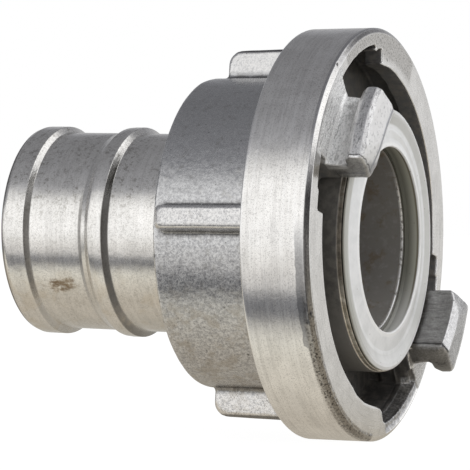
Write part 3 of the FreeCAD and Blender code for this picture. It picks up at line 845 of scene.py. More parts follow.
    # the claws are smeared darker, with worn bright facets that also carry a painted highlight
    smear = t.math("MULTIPLY", claw, t.smooth(t.noise(P, 0.30, 3.0, 0.6), 0.38, 0.60))
    col = t.mix(t.math("MULTIPLY", smear, t.mixf(t.smooth(y, -5.0, 5.0), 0.40, 0.42)), col, (0.30, 0.295, 0.30))
    second = t.math("MULTIPLY", claw, t.smooth(y, 0.0, 5.0))
    # painted shade on the second claw, deepest towards its root
    col = t.mix(t.math("MULTIPLY", second, t.rescale(x, 1.0, 8.0, 0.28, 0.05)), col, (0.17, 0.17, 0.165))
    drag = t.noise(t.vec(t.math("MULTIPLY", x, 0.30), t.math("MULTIPLY", y, 1.5), t.math("MULTIPLY", z, 1.5)), 1.0, 4.0, 0.7)
    col = t.mix(t.math("MULTIPLY", second, t.math("MULTIPLY", t.smooth(drag, 0.50, 0.64), 0.55)), col, (0.80, 0.80, 0.81))
    col = t.mix(t.math("MULTIPLY", second, t.math("MULTIPLY", t.smooth(drag, 0.45, 0.34), 0.50)), col, (0.12, 0.12, 0.12))
    col = t.mix(t.math("MULTIPLY", t.math("MULTIPLY", claw, t.smooth(r, 41.6, 42.6)), t.smooth(grain, 0.66, 0.42)), col, (0.90, 0.895, 0.89))
    # the top facets: worn bright, and painted as a highlight that is much stronger on the first claw than on the second
    facet = t.math("MULTIPLY", t.smooth(x, 9.0, 9.4), t.smooth(r, t.mixf(t.smooth(y, -5.0, 5.0), 43.1, 36.3), t.mixf(t.smooth(y, -5.0, 5.0), 42.5, 35.5)))
    facet = t.math("MULTIPLY", facet, t.smooth(t.noise(P, 1.1, 3.0, 0.65), 0.28, 0.46))
    first = t.math("MULTIPLY", claw, t.smooth(y, 5.0, 0.0))
    tear = t.vec(t.math("MULTIPLY", x, 2.1), t.math("MULTIPLY", t.math("ADD", t.math("MULTIPLY", y, -0.788), t.math("MULTIPLY", z, 0.616)), 2.1),
                 t.math("MULTIPLY", t.math("ADD", t.math("MULTIPLY", y, 0.616), t.math("MULTIPLY", z, 0.788)), 0.55))
    tear = t.noise(tear, 1.0, 4.0, 0.75)
    col = t.mix(t.math("MULTIPLY", first, t.math("MULTIPLY", t.smooth(tear, 0.52, 0.64), 0.75)), col, (0.22, 0.215, 0.22))
    col = t.mix(t.math("MULTIPLY", first, t.math("MULTIPLY", t.smooth(tear, 0.44, 0.34), 0.45)), col, (0.93, 0.93, 0.94))
    # painted shade with a bluish reflected tint, in a band along the first claw near its inner face
    fringe = t.math("MULTIPLY", claw, t.math("MULTIPLY", t.smooth(r, 35.2, 35.5), t.smooth(r, 36.5, 36.0)))
    fringe = t.math("MULTIPLY", fringe, t.smooth(y, 5.0, 0.0))
    col = t.mix(t.math("MULTIPLY", facet, t.mixf(t.smooth(y, -5.0, 5.0), 0.90, 0.38)), col, (0.95, 0.945, 0.94))
    col = t.mix(t.math("MULTIPLY", fringe, 0.75), col, (0.26, 0.27, 0.31))
    # turned band beside the chamfer, darker and uneven along its inner side
    band = t.math("ADD", x, t.math("MULTIPLY", t.math("SUBTRACT", t.noise(P, 0.22, 4.0, 0.65), 0.5), 1.5))
    band = t.math("SUBTRACT", band, t.math("MULTIPLY", t.smooth(z, -24.6, -25.3), 1.0))
    band = t.math("MULTIPLY", t.smooth(band, -3.25, -2.95), t.smooth(r, 48.4, 48.7))
    band = t.math("MULTIPLY", band, t.math("MULTIPLY", t.smooth(z, 6.0, -6.0), t.smooth(z, -35.0, -28.0)))
    band = t.math("MULTIPLY", band, t.smooth(y, 0.0, -8.0))
    col = t.mix(t.math("MULTIPLY", band, t.math("MULTIPLY", t.rescale(grain, 0.3, 0.7, 1.0, 0.70), t.rescale(z, -38.0, -22.0, 0.62, 1.0))), col, (0.34, 0.34, 0.345))
    bevel = t.math("MULTIPLY", t.smooth(x, -1.15, -0.95), t.smooth(r, 47.75, 47.95))
    bevel = t.math("MULTIPLY", bevel, t.math("MULTIPLY", t.smooth(y, -6.0, -14.0), t.smooth(z, 17.0, 8.0)))
    col = t.mix(t.math("MULTIPLY", bevel, t.rescale(grain, 0.3, 0.7, 0.92, 0.70)), col, (0.085, 0.080, 0.076))
    col = t.mix(t.math("MULTIPLY", low, 0.80), col, (0.36, 0.335, 0.30))
    col = t.mix(t.math("MULTIPLY", low, t.smooth(t.noise(P, 1.9, 3.0, 0.7), 0.50, 0.60)), col, (0.05, 0.045, 0.04))
    col = t.mix(t.math("MULTIPLY", pits, t.math("MULTIPLY_ADD", cast, 0.55, 0.10)), col, (0.16, 0.155, 0.15))
    worn = t.math("MULTIPLY", edge, t.smooth(t.noise(P, 0.9, 3.0, 0.6), 0.32, 0.5))
    worn = t.math("MULTIPLY", worn, t.math("SUBTRACT", 1.0, t.math("MAXIMUM", t.math("MULTIPLY", inner, 0.9), t.math("MAXIMUM", t.math("MULTIPLY", low, 0.7), t.math("MULTIPLY", bevel, 0.95)))))
    col = t.mix(t.math("MULTIPLY", worn, 0.8), col, (0.96, 0.955, 0.95))
    out = t.math("ABSOLUTE", t.math("ADD", t.math("MULTIPLY", y, 0.0872), t.math("MULTIPLY", z, 0.9962)))
    outer = t.math("MAXIMUM", t.smooth(out, 43.75, 44.15), t.smooth(x, -39.75, -40.05))
    outer = t.math("MULTIPLY", outer, t.math("MULTIPLY", rib, t.smooth(t.math("ABSOLUTE", z), 30.0, 34.0)))
    # painted shade: a thin dark bluish line on the drum beside the chamfer above, and the chamfer itself painted darker
    # at the top
    brow = t.math("MULTIPLY", t.smooth(x, -1.75, -1.35), t.smooth(x, -0.70, -0.90))
    brow = t.math("MULTIPLY", t.math("MULTIPLY", brow, t.smooth(r, 48.4, 48.6)), t.smooth(z, 14.0, 26.0))
    col = t.mix(t.math("MULTIPLY", brow, t.rescale(grain, 0.3, 0.7, 0.55, 0.30)), col, (0.17, 0.17, 0.20))
    crown = t.math("MULTIPLY", t.math("MULTIPLY", t.smooth(x, -1.0, -0.8), t.smooth(r, 47.7, 47.95)), t.smooth(z, 33.0, 41.0))
    col = t.mix(t.math("MULTIPLY", crown, t.rescale(patch, 0.35, 0.65, 0.55, 0.25)), col, (0.26, 0.26, 0.28))
    col = t.mix(t.math("MULTIPLY", outer, 0.75), col, (0.10, 0.095, 0.095))
    # darker in the inner corners, less so on the bell
    corner_dark = t.math("MULTIPLY", corner, t.smooth(t.noise(P, 0.7, 3.0, 0.6), 0.22, 0.5))
    corner_dark = t.math("MULTIPLY", corner_dark, t.mixf(bell, 1.0, 0.60))
    col = t.mix(t.math("MULTIPLY", corner_dark, 0.85), col, (0.10, 0.095, 0.09))
    # painted shade on the end and inner faces of the claws, which are also duller and rougher
    dark = t.math("MULTIPLY", dull_and_shaded, t.rescale(grain, 0.3, 0.7, 0.95, 0.55))
    col = t.mix(dark, col, (0.22, 0.215, 0.205))
    torn = t.smooth(t.noise(P, 0.75, 5.0, 0.7, distortion=0.8), 0.50, 0.56)
    col = t.mix(t.math("MULTIPLY", t.math("MULTIPLY", dull_and_shaded, first), t.math("MULTIPLY", torn, 0.6)), col, (0.06, 0.058, 0.055))
    rug = t.noise(t.vec(t.math("MULTIPLY", x, 2.6), t.math("MULTIPLY", t.math("ADD", y, z), 0.9), t.math("MULTIPLY", t.math("SUBTRACT", y, z), 2.6)), 1.0, 4.0, 0.75)
    rugged = t.mix(t.smooth(rug, 0.36, 0.56), (0.42, 0.42, 0.42), (0.84, 0.84, 0.835))
    rugged = t.mix(t.math("MULTIPLY", t.smooth(r, 40.2, 39.6), 0.35), rugged, (0.50, 0.49, 0.475))
    scratch = t.noise(t.vec(0.0, t.math("MULTIPLY", y, 0.22), t.math("MULTIPLY", z, 0.22)), 1.0, 3.0, 0.7, w=t.math("MULTIPLY", r, 2.4))
    rugged = t.mix(t.math("MULTIPLY", t.smooth(scratch, 0.53, 0.62), 0.7), rugged, (0.30, 0.295, 0.29))
    rugged = t.mix(t.math("MULTIPLY", t.smooth(scratch, 0.42, 0.34), 0.5), rugged, (0.92, 0.92, 0.915))
    col = t.mix(soft, col, rugged)
    ridge = t.math("MULTIPLY", soft, t.math("MULTIPLY", t.smooth(r, 40.3, 40.7), t.smooth(r, 41.5, 41.1)))
    col = t.mix(t.math("MULTIPLY", ridge, 0.8), col, (0.98, 0.98, 0.97))
    # a fold line beside each hook's trailing end
    for sign in (1.0, -1.0):
        trail = t.math("ADD", t.math("MULTIPLY", z, -0.9219 * sign), t.math("MULTIPLY", y, -0.3875 * sign))
        trail = t.math("ADD", trail, t.math("MULTIPLY", t.math("SUBTRACT", t.noise(P, 0.45, 3.0, 0.6), 0.5), 1.3))
        fold = t.math("SUBTRACT", 1.0, t.smooth(t.math("ABSOLUTE", t.math("ADD", trail, 0.75)), 0.07, 0.20))
        fold = t.math("MULTIPLY", fold, t.math("MULTIPLY", t.smooth(x, 5.0, 6.5), t.smooth(r, 34.0, 35.0)))
        col = t.mix(t.math("MULTIPLY", fold, 0.85), col, (0.07, 0.065, 0.06))
    lead = t.math("ADD", t.math("MULTIPLY", y, -0.8181), t.math("MULTIPLY", z, -0.5750))
    lead = t.math("ADD", lead, t.math("MULTIPLY", t.math("SUBTRACT", t.noise(P, 0.4, 3.0, 0.6), 0.5), 0.8))
    tip = t.math("MULTIPLY", second, t.math("MULTIPLY", t.smooth(lead, -2.2, -0.6), t.smooth(r, 36.0, 40.0)))
    col = t.mix(t.math("MULTIPLY", tip, 0.55), col, (0.13, 0.125, 0.12))
    col = t.mix(t.math("MULTIPLY", tip, t.math("MULTIPLY", t.smooth(t.noise(P, 0.9, 4.0, 0.7), 0.50, 0.58), 0.8)), col, (0.03, 0.03, 0.03))
    crease = t.math("SUBTRACT", 1.0, t.smooth(t.math("ABSOLUTE", t.math("ADD", lead, 1.2)), 0.10, 0.30))
    crease = t.math("MULTIPLY", crease, t.math("MULTIPLY", second, t.smooth(r, 36.5, 35.5)))
    col = t.mix(t.math("MULTIPLY", crease, 0.75), col, (0.05, 0.05, 0.05))
    inside = t.math("MULTIPLY", inner, 0.9)
    deepc = t.mix(t.smooth(patch, 0.4, 0.65), (0.13, 0.13, 0.13), (0.20, 0.185, 0.165))
    col = t.mix(inside, col, deepc)
    # painted shade deep inside the two entry windows, above and below, hiding the lit edges inside
    window_shade = t.math("MULTIPLY", t.math("MULTIPLY", t.smooth(x, -0.25, -0.8), t.smooth(x, -16.4, -15.8)), t.smooth(r, 46.6, 45.8))
    upper = t.math("MULTIPLY", window_shade, t.math("MULTIPLY", t.smooth(z, 38.5, 40.5), t.smooth(y, -16.0, -8.0)))
    upper = t.math("MULTIPLY", upper, t.rescale(y, -7.0, -3.0, 0.25, 0.72))
    lower = t.math("MULTIPLY", window_shade, t.math("MULTIPLY", t.smooth(z, -26.0, -30.0), t.smooth(y, -14.0, -4.0)))
    window_shade = t.math("MULTIPLY", t.math("MAXIMUM", upper, lower), t.math("SUBTRACT", 1.0, scar))
    window_shade = t.math("MULTIPLY", window_shade, t.rescale(patch, 0.4, 0.6, 0.72, 0.50))
    col = t.mix(window_shade, col, (0.035, 0.031, 0.028))
    chips = t.smooth(t.noise(P, 1.7, 2.0, 0.6), 0.44, 0.60)
    col = t.mix(scar, col, t.mix(chips, (0.38, 0.38, 0.385), (0.66, 0.66, 0.66)))
    b.inputs["Base Color"].default_value = (0.7, 0.7, 0.7, 1.0)
    t.put(b.inputs["Base Color"], col)
    t.put(b.inputs["Metallic"], t.math("SUBTRACT", 1.0, t.math("MAXIMUM", t.math("MULTIPLY", inner, 0.75), t.math("MULTIPLY", soft, 0.75)), clamp=True))
    # roughness
    ro = t.mixf(t.smooth(ringf, 0.3, 0.7), 0.19, 0.26)
    ro = t.mixf(cast, ro, t.rescale(grain, 0.3, 0.7, 0.22, 0.33))
    ro = t.mixf(t.math("MULTIPLY", worn, 0.6), ro, 0.22)
    ro = t.mixf(t.math("MULTIPLY", facet, 0.7), ro, 0.26)
    ro = t.mixf(t.math("MULTIPLY", first, 0.75), ro, 0.38)
    ro = t.mixf(inside, ro, 0.5)
    ro = t.mixf(dull_and_shaded, ro, 0.55)
    ro = t.mixf(scar, ro, 0.45)
    t.put(b.inputs["Roughness"], ro)
    # relief
    hgt = t.math("MULTIPLY", ringf, 0.30)
    hgt = t.math("ADD", hgt, t.math("MULTIPLY", ringm, 0.45))
    hgt = t.math("ADD", hgt, t.math("MULTIPLY", ringw, 1.1))
    hgt = t.math("ADD", hgt, t.math("MULTIPLY", grain, 0.40))
    hgt = t.math("ADD", hgt, t.math("MULTIPLY", t.noise(P, 0.7, 2.0, 0.5), 1.2))
    ch = t.math("ADD", t.math("MULTIPLY", grain, 0.45), t.math("MULTIPLY", fine, 0.12))
    ch = t.math("ADD", ch, t.math("MULTIPLY", mottle, 1.3))
    ch = t.math("ADD", ch, t.math("MULTIPLY", t.noise(P, 0.45, 2.0, 0.5), 2.0))
    ch = t.math("SUBTRACT", ch, t.math("MULTIPLY", pits, 1.4))
    ch = t.math("SUBTRACT", ch, t.math("MULTIPLY", first, t.math("MULTIPLY", t.smooth(tear, 0.46, 0.64), 2.6)))
    hgt = t.mixf(cast, hgt, ch)
    t.put(b.inputs["Normal"], t.bump(hgt, 0.34, 0.00006))
    return m


def tail_material():
    m, t, b = metal("turned_aluminium")
    P, x, y, z, r = t.place(True)
    ringm = turning(t, x, y, z, r, 1.6, 0.10, 3.0)
    ringf = turning(t, x, y, z, r, 5.0, 0.25, 2.0)
    grain = t.noise(P, 2.2, 4.0, 0.7)
    blotch = t.noise(P, 0.12, 4.0, 0.65)
    base = t.mix(t.smooth(blotch, 0.36, 0.7), (0.86, 0.845, 0.815), (0.97, 0.95, 0.92))
    base = t.mix(t.math("MULTIPLY", t.smooth(grain, 0.48, 0.66), 0.50), base, (0.50, 0.49, 0.47))
    smudge = t.math("MULTIPLY", t.smooth(t.noise(P, 0.9, 5.0, 0.78), 0.50, 0.62), t.smooth(blotch, 0.60, 0.44))
    base = t.mix(t.math("MULTIPLY", smudge, t.rescale(z, 2.0, 9.0, 0.26, 0.85)), base, (0.38, 0.36, 0.325))
    ringw = turning(t, x, y, z, r, 1.25, 0.05, 3.0)
    base = t.mix(t.math("MULTIPLY", t.smooth(ringw, 0.50, 0.64), 0.20), base, (0.55, 0.54, 0.53))
    base = t.mix(t.math("MULTIPLY", t.smooth(ringw, 0.48, 0.38), 0.35), base, (0.98, 0.97, 0.95))
    base = t.mix(t.math("MULTIPLY", t.smooth(t.noise(P, 3.6, 1.0, 0.5), 0.54, 0.70), 0.45), base, (0.50, 0.49, 0.47))
    base = t.mix(t.math("MULTIPLY", t.smooth(ringf, 0.56, 0.74), 0.30), base, (0.97, 0.96, 0.94))
    # one scuffed brown smear low on the near side, and faint mottling
    wave = t.math("MULTIPLY", t.math("SUBTRACT", t.noise(P, 0.35, 4.0, 0.7), 0.5), 2.2)
    u = t.math("ADD", t.math("MULTIPLY", t.math("ADD", x, 74.2), 0.24), wave)
    v = t.math("ADD", t.math("MULTIPLY", t.math("ADD", z, 12.9), 0.60), wave)
    spot = t.math("ADD", t.math("MULTIPLY", u, u), t.math("MULTIPLY", v, v))
    spot = t.math("MULTIPLY", t.smooth(spot, 1.3, 0.2), t.smooth(y, 0.0, -4.0))
    streak = t.noise(t.vec(t.math("MULTIPLY", x, 0.35), t.math("MULTIPLY", y, 1.8), t.math("MULTIPLY", z, 1.8)), 1.0, 3.0, 0.7)
    spot = t.math("MULTIPLY", spot, t.smooth(t.mixf(0.5, streak, t.noise(P, 1.1, 3.0, 0.7)), 0.34, 0.54))
    col = t.mix(t.math("MULTIPLY", spot, 0.95), base, (0.21, 0.145, 0.085))
    # dirt along the front side of each bead, also painted shade of the dark flank, fading towards the top where the
    # flank catches light
    for lo, hi, full in ((-82.40, -81.1, 0.30), (-68.4, -67.3, 0.30), (-61.75, -60.1, 0.85)):
        near = t.math("MULTIPLY", t.smooth(x, lo, lo + 0.35), t.smooth(x, hi, hi - 0.25))
        deep = t.math("MULTIPLY", near, t.rescale(r, 24.5, 25.6, 0.78, 1.0) if lo < -70.0 or lo > -65.0 else 0.8)
        dirt_and_shade = t.math("MULTIPLY", deep, t.rescale(z, 5.0, 12.0, 0.92, 0.0))
        dirt_and_shade = t.math("MULTIPLY", dirt_and_shade, t.rescale(z, -17.0, -8.0, full, 1.0))
        dirt_and_shade = t.math("MULTIPLY", dirt_and_shade, t.smooth(r, 23.9, 24.2))
        dirt_and_shade = t.math("MULTIPLY", dirt_and_shade, t.rescale(grain, 0.35, 0.6, 1.0, 0.75))
        col = t.mix(dirt_and_shade, col, (0.052, 0.042, 0.031))
        soiled_and_shaded = dirt_and_shade if lo < -70.0 else t.math("MAXIMUM", soiled_and_shaded, dirt_and_shade)
    mouth = t.math("MULTIPLY", t.smooth(x, -87.5, -87.9), t.smooth(r, 24.3, 24.7))
    col = t.mix(t.math("MULTIPLY", mouth, 0.75), col, (0.16, 0.15, 0.14))
    warm = t.math("MULTIPLY", t.smooth(t.noise(P, 0.16, 3.0, 0.6, distortion=0.6), 0.50, 0.66), t.smooth(z, -2.0, -16.0))
    col = t.mix(t.math("MULTIPLY", warm, 0.30), col, (0.70, 0.62, 0.50))
    # collar, seat and bore
    collar = t.math("MULTIPLY", t.smooth(x, -12.5, -11.5), t.smooth(r, 30.5, 30.8))
    brown = t.mix(t.smooth(t.noise(P, 0.6, 4.0, 0.7), 0.35, 0.65), (0.52, 0.46, 0.36), (0.95, 0.90, 0.80))
    # painted light and shade on the collar's tan front edge: dark brown at mid height, tan low down and, fainter, high
    # up
    brown_shaded = t.mix(t.smooth(t.noise(P, 0.6, 4.0, 0.7), 0.35, 0.65), (0.14, 0.12, 0.095), (0.27, 0.235, 0.185))
    brown = t.mix(t.math("MAXIMUM", t.smooth(z, -7.0, -15.0), t.math("MULTIPLY", t.smooth(z, 6.0, 14.0), 0.45)), brown_shaded, brown)
    lit = t.math("MULTIPLY", t.smooth(x, 0.16, 0.30), t.smooth(r, 30.9, 31.1))
    # painted shade: the rest of the collar, in the gap, is near black, lighter towards the bottom
    wall = t.mix(t.smooth(t.noise(P, 0.5, 4.0, 0.6), 0.4, 0.6), (0.085, 0.08, 0.07), (0.135, 0.125, 0.11))
    wall = t.mix(t.smooth(z, -10.0, -26.0), wall, (0.22, 0.21, 0.195))
    brown = t.mix(lit, wall, brown)
    col = t.mix(t.math("MULTIPLY", collar, 0.95), col, brown)
    bore = t.math("MULTIPLY", t.smooth(r, 22.2, 21.95), t.smooth(x, -88.5, -87.6))
    rust = t.mix(t.smooth(t.noise(P, 0.22, 4.0, 0.7), 0.50, 0.66), (0.235, 0.225, 0.21), (0.20, 0.165, 0.13))
    rust = t.mix(t.smooth(t.noise(P, 0.5, 3.0, 0.6), 0.50, 0.75), rust, (0.29, 0.28, 0.265))
    col = t.mix(bore, col, rust)
    # painted highlight: a bright line along the bore's front lip, except near the top
    lip = t.math("MULTIPLY", t.smooth(x, -2.75, -2.5), t.smooth(r, 22.9, 22.6))
    lip = t.math("MULTIPLY", lip, t.math("MULTIPLY", t.smooth(z, 16.0, 10.0), t.smooth(t.noise(P, 0.8, 3.0, 0.7), 0.34, 0.50)))
    col = t.mix(lip, col, (0.97, 0.965, 0.955))
    # painted shade on the tail where it runs inside the head
    neck = t.smooth(x, -32.0, -27.0)
    neck = t.math("MULTIPLY", neck, t.math("SUBTRACT", 1.0, t.math("MAXIMUM", collar, bore)))
    col = t.mix(t.math("MULTIPLY", neck, 0.6), col, (0.3, 0.29, 0.28))
    t.put(b.inputs["Base Color"], col)
    matt = t.math("MAXIMUM", t.math("MAXIMUM", t.math("MULTIPLY", bore, t.math("SUBTRACT", 1.0, lip)), soiled_and_shaded), t.math("MULTIPLY", collar, t.math("SUBTRACT", 1.0, lit)))
    t.put(b.inputs["Metallic"], t.math("SUBTRACT", 1.0, t.math("MULTIPLY", matt, 0.8), clamp=True))
    ro = t.mixf(t.smooth(ringf, 0.3, 0.7), 0.17, 0.23)
    ro = t.mixf(t.smooth(grain, 0.45, 0.75), ro, 0.30)
    ro = t.mixf(bore, ro, 0.5)
    ro = t.mixf(collar, ro, 0.38)
    t.put(b.inputs["Roughness"], ro)
    hgt = t.math("ADD", t.math("MULTIPLY", ringf, 0.30), t.math("MULTIPLY", ringm, 0.8))
    hgt = t.math("ADD", hgt, t.math("MULTIPLY", grain, 0.8))
    hgt = t.math("ADD", hgt, t.math("MULTIPLY", t.noise(P, 0.5, 2.0, 0.5), 2.5))
    t.put(b.inputs["Normal"], t.bump(hgt, 0.22, 0.00006))
    return m


def seal_material():
    m = bpy.data.materials.new("moulded_white_rubber")
    m.use_nodes = True
    t = Tree(m.node_tree)
    out = t.node("ShaderNodeOutputMaterial")
    b = t.node("ShaderNodeBsdfPrincipled")
    t.put(out.inputs["Surface"], b.outputs[0])
    P, x, y, z, r = t.place(True)
    blotch = t.noise(P, 0.25, 4.0, 0.6)
    col = t.mix(t.smooth(blotch, 0.35, 0.7), (0.75, 0.757, 0.765), (0.66, 0.67, 0.675))
    # painted shade: the outer part is greyer on the near side and above, and a shallow dip runs round the middle,
    # painted darker on the far side
    near = t.rescale(y, -6.0, 6.0, 1.0, 0.62)
    outer = t.math("MULTIPLY", t.smooth(r, 27.1, 27.8), t.math("MULTIPLY", near, t.rescale(z, -30.0, -20.0, 0.12, 1.0)))
    outer = t.math("MULTIPLY", outer, t.math("SUBTRACT", 1.0, t.math("MULTIPLY", t.smooth(r, 29.7, 30.1), t.rescale(y, -2.0, 8.0, 0.0, 0.8))))
    col = t.mix(t.math("MULTIPLY", outer, 0.92), col, (0.42, 0.42, 0.39))
    dip = t.math("MULTIPLY", t.smooth(r, 23.6, 24.4), t.smooth(r, 26.4, 25.6))
    dip = t.math("MULTIPLY", dip, t.math("MULTIPLY", t.smooth(y, -6.0, 6.0), t.smooth(z, -28.0, -14.0)))
    col = t.mix(t.math("MULTIPLY", dip, 0.42), col, (0.45, 0.45, 0.41))
    # painted highlight on the crest of the inner lip
    crest = t.math("MULTIPLY", t.smooth(r, 23.4, 22.8), t.smooth(x, 2.0, 2.2))
    col = t.mix(t.math("MULTIPLY", crest, 0.6), col, (0.86, 0.86, 0.85))
    # the throat: olive, with painted shade darker with depth, painted light lower down where light from above falls,
    # and a thin painted shadow line under the lip
    throat = t.math("MULTIPLY", t.smooth(x, 2.02, 1.88), t.smooth(r, 24.2, 23.6))
    shade = t.mix(t.smooth(x, -1.6, 1.6), (0.18, 0.18, 0.15), (0.56, 0.56, 0.48))
    shade = t.mix(t.smooth(z, -6.0, -20.0), shade, t.mix(t.smooth(x, -1.8, 1.0), (0.42, 0.42, 0.39), (0.80, 0.80, 0.77)))
    col = t.mix(throat, col, shade)
    under = t.math("MULTIPLY", t.smooth(x, 1.30, 1.55), t.smooth(x, 1.98, 1.86))
    under = t.math("MULTIPLY", t.math("MULTIPLY", under, t.smooth(r, 23.0, 22.6)), t.smooth(z, -22.0, -10.0))
    col = t.mix(t.math("MULTIPLY", under, 0.8), col, (0.20, 0.17, 0.115))
    # painted shade on the seal's outer side, near black in the gap by the collar
    rim = t.math("MULTIPLY", t.smooth(r, 30.4, 30.6), t.smooth(x, 2.05, 1.75))
    col = t.mix(t.math("MULTIPLY", rim, 0.75), col, (0.24, 0.225, 0.18))
    rim = t.math("MULTIPLY", t.smooth(r, 30.4, 30.6), t.smooth(x, 1.62, 1.45))
    col = t.mix(rim, col, (0.03, 0.028, 0.025))
    specks = t.smooth(t.cells(P, 0.42), 0.085, 0.04)
    col = t.mix(t.math("MULTIPLY", specks, 0.75), col, (0.22, 0.21, 0.19))
    t.put(b.inputs["Base Color"], col)
    t.put(b.inputs["Roughness"], t.rescale(t.noise(P, 1.2, 3.0, 0.6), 0.3, 0.7, 0.36, 0.52))
    b.inputs["IOR"].default_value = 1.5
    b.inputs["Subsurface Weight"].default_value = 0.0
    hgt = t.math("ADD", t.math("MULTIPLY", t.noise(P, 1.6, 3.0, 0.6), 0.7), t.math("MULTIPLY", t.noise(P, 5.0, 2.0, 0.5), 0.3))
    t.put(b.inputs["Normal"], t.bump(hgt, 0.3, 0.00006))
    return m


def ring_material():
    m, t, b = metal("spring_steel")
    P, x, y, z, r = t.place(True)
    line = turning(t, x, y, z, r, 9.0, 0.3)
    col = t.mix(t.smooth(line, 0.3, 0.7), (0.33, 0.33, 0.33), (0.50, 0.49, 0.48))
    col = t.mix(t.math("MULTIPLY", t.smooth(t.noise(P, 0.5, 3.0, 0.6), 0.5, 0.7), 0.5), col, (0.24, 0.17, 0.11))
    t.put(b.inputs["Base Color"], col)
    t.put(b.inputs["Roughness"], t.rescale(line, 0.3, 0.7, 0.28, 0.46))
    t.put(b.inputs["Normal"], t.bump(line, 0.3, 0.00004))
    return m


for ob, maker in ((head, head_material), (tail, tail_material), (seal, seal_material), (ring, ring_material)):
    ob.data.materials.clear()
    ob.data.materials.append(maker())

# the imported nodes take the same finishes
for node, ob in (("coupling_head", head), ("hose_tail", tail), ("seal_ring", seal), ("locking_ring", ring)):
    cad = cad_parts[node]
    for s in cad.material_slots:
        s.material = ob.data.materials[0]

# ------------------------------------------------------------------ floor, light, camera
floor_mesh = bpy.data.meshes.new("studio_floor")
FLOOR_Z = -0.0495
span = 12.0
floor_mesh.from_pydata([(-span, -span, FLOOR_Z), (span, -span, FLOOR_Z), (span, span, FLOOR_Z), (-span, span, FLOOR_Z)], [], [(0, 1, 2, 3)])
floor = bpy.data.objects.new("studio_floor", floor_mesh)
bpy.context.scene.collection.objects.link(floor)
fm = bpy.data.materials.new("studio_white")
fm.use_nodes = True
t = Tree(fm.node_tree)
out = t.node("ShaderNodeOutputMaterial")
em = t.node("ShaderNodeEmission")
em.inputs["Color"].default_value = (1, 1, 1, 1)
em.inputs["Strength"].default_value = 0.97
dif = t.node("ShaderNodeBsdfDiffuse")
dif.inputs["Color"].default_value = (0.10, 0.10, 0.10, 1)
add = t.node("ShaderNodeAddShader")
t.put(add.inputs[0], em.outputs[0])
t.put(add.inputs[1], dif.outputs[0])
# seen by the camera as white; the object reflects a grey table with a dark gap between it and the front light
path = t.node("ShaderNodeLightPath")
bounce = t.node("ShaderNodeEmission")
where = t.node("ShaderNodeSeparateXYZ")
t.put(where.inputs[0], t.node("ShaderNodeNewGeometry").outputs["Position"])
table = t.node("ShaderNodeValToRGB")
spots = [
    (-0.60, (1.0, 1.0, 1.0)), (-0.20, (0.83, 0.82, 0.80)), (-0.128, (0.67, 0.655, 0.64)), (-0.110, (0.58, 0.57, 0.56)), (-0.0985, (0.150, 0.154, 0.168)),
    (-0.0760, (0.150, 0.154, 0.168)), (-0.0668, (0.56, 0.545, 0.51)), (-0.0570, (0.74, 0.72, 0.65)), (-0.045, (0.68, 0.645, 0.57)), (-0.02, (0.52, 0.475, 0.405)),
    (0.01, (0.45, 0.415, 0.355)), (0.06, (0.48, 0.46, 0.42)), (0.20, (0.58, 0.57, 0.55)), (0.60, (0.64, 0.635, 0.62)),
]
tel = table.color_ramp.elements
while len(tel) > 1:
    tel.remove(tel[-1])
tel[0].position = 0.0
tel[0].color = (*spots[0][1], 1.0)
for at, c in spots[1:]:
    e = tel.new((at + 0.60) / 1.20)
    e.color = (*c, 1.0)
t.put(table.inputs[0], t.rescale(where.outputs[1], -0.60, 0.60, 0.0, 1.0))
t.put(bounce.inputs["Color"], table.outputs[0])
bounce.inputs["Strength"].default_value = 1.0
mx = t.node("ShaderNodeMixShader")
t.put(mx.inputs[0], path.outputs["Is Camera Ray"])
t.put(mx.inputs[1], bounce.outputs[0])
t.put(mx.inputs[2], add.outputs[0])
t.put(out.inputs["Surface"], mx.outputs[0])
floor_mesh.materials.append(fm)

world = bpy.data.worlds.new("studio")
bpy.context.scene.world = world
world.use_nodes = True
t = Tree(world.node_tree)
out = t.node("ShaderNodeOutputWorld")
bg = t.node("ShaderNodeBackground")
co = t.node("ShaderNodeTexCoord").outputs["Generated"]
sep = t.node("ShaderNodeSeparateXYZ")
t.put(sep.inputs[0], co)
dx, dy, dz = sep.outputs
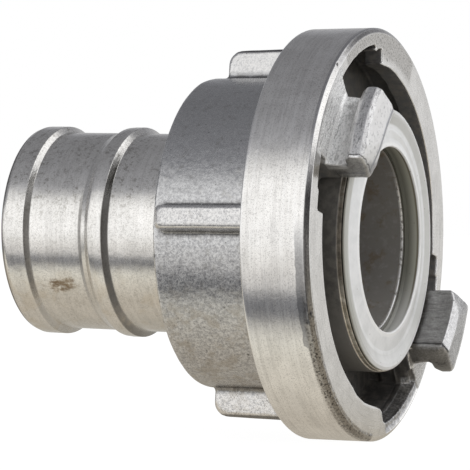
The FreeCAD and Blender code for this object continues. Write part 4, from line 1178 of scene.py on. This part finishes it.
# roll angle about the coupling axis, 0 towards -Y, 90 up
roll = t.math("MULTIPLY", t.math("ARCTAN2", dz, t.math("MULTIPLY", dy, -1.0)), 180.0 / math.pi)
ramp = t.node("ShaderNodeValToRGB")
ramp.color_ramp.interpolation = "LINEAR"
stops = [
    (-180, 0.64), (-170, 0.60), (-10, 1.04), (-6, 1.06), (28, 1.06), (35, 0.91), (41, 0.66), (47, 0.40), (55, 0.31), (66, 0.28), (86, 0.24),
    (115, 0.215), (146, 0.23), (158, 0.38), (170, 0.60), (180, 0.64),
]
el = ramp.color_ramp.elements
while len(el) > 1:
    el.remove(el[-1])
el[0].position = 0.0
el[0].color = (stops[0][1],) * 3 + (1,)
for deg, v in stops[1:]:
    e = el.new((deg + 180.0) / 360.0)
    e.color = (v * 0.99, v, v * 1.06, 1) if v < 0.5 else (v, v, v, 1)
t.put(ramp.inputs[0], t.rescale(roll, -180.0, 180.0, 0.0, 1.0))
# in front of the mating face: dark at table height, with a bright card above and to the far side
front = t.smooth(dx, 0.41, 0.50)
card = t.smooth(t.math("ADD", dz, t.math("MULTIPLY", dy, 0.9)), 0.36, 0.46)
face = t.mix(card, (0.17, 0.17, 0.18), (1.12, 1.12, 1.13))
light = t.mix(front, ramp.outputs[0], face)
path = t.node("ShaderNodeLightPath")
shown = t.mix(path.outputs["Is Camera Ray"], light, (1.0, 1.0, 1.0))
t.put(bg.inputs["Color"], shown)
bg.inputs["Strength"].default_value = 1.0
t.put(out.inputs["Surface"], bg.outputs[0])

for name, aim, strength, angle in (("key", (0.72, 0.18, 0.67), 1.15, 24.0), ("fill", (0.70, -0.66, 0.27), 0.45, 40.0)):
    lamp = bpy.data.lights.new(name, "SUN")
    lamp.energy = strength
    lamp.angle = math.radians(angle)
    ob = bpy.data.objects.new(name, lamp)
    bpy.context.scene.collection.objects.link(ob)
    ob.rotation_euler = Vector(aim).to_track_quat("Z", "Y").to_euler()
    ob.visible_glossy = False

cam_data = bpy.data.cameras.new("camera")
cam_data.sensor_width = 36.0
cam_data.lens = 187.19
cam_data.clip_start, cam_data.clip_end = 0.02, 60.0
cam = bpy.data.objects.new("camera", cam_data)
bpy.context.scene.collection.objects.link(cam)
cam.matrix_world = Matrix((
    (0.92254857, -0.01009453, 0.38574893, 0.191608),
    (0.38576859, 0.0, -0.92259558, -0.548361),
    (0.00931316, 0.99994905, 0.00389415, 0.001895),
    (0.0, 0.0, 0.0, 1.0),
))
bpy.context.scene.camera = cam
vs = bpy.context.scene.view_settings
vs.view_transform = "Standard"
vs.look = "None"
vs.exposure = 0.0
vs.gamma = 1.0
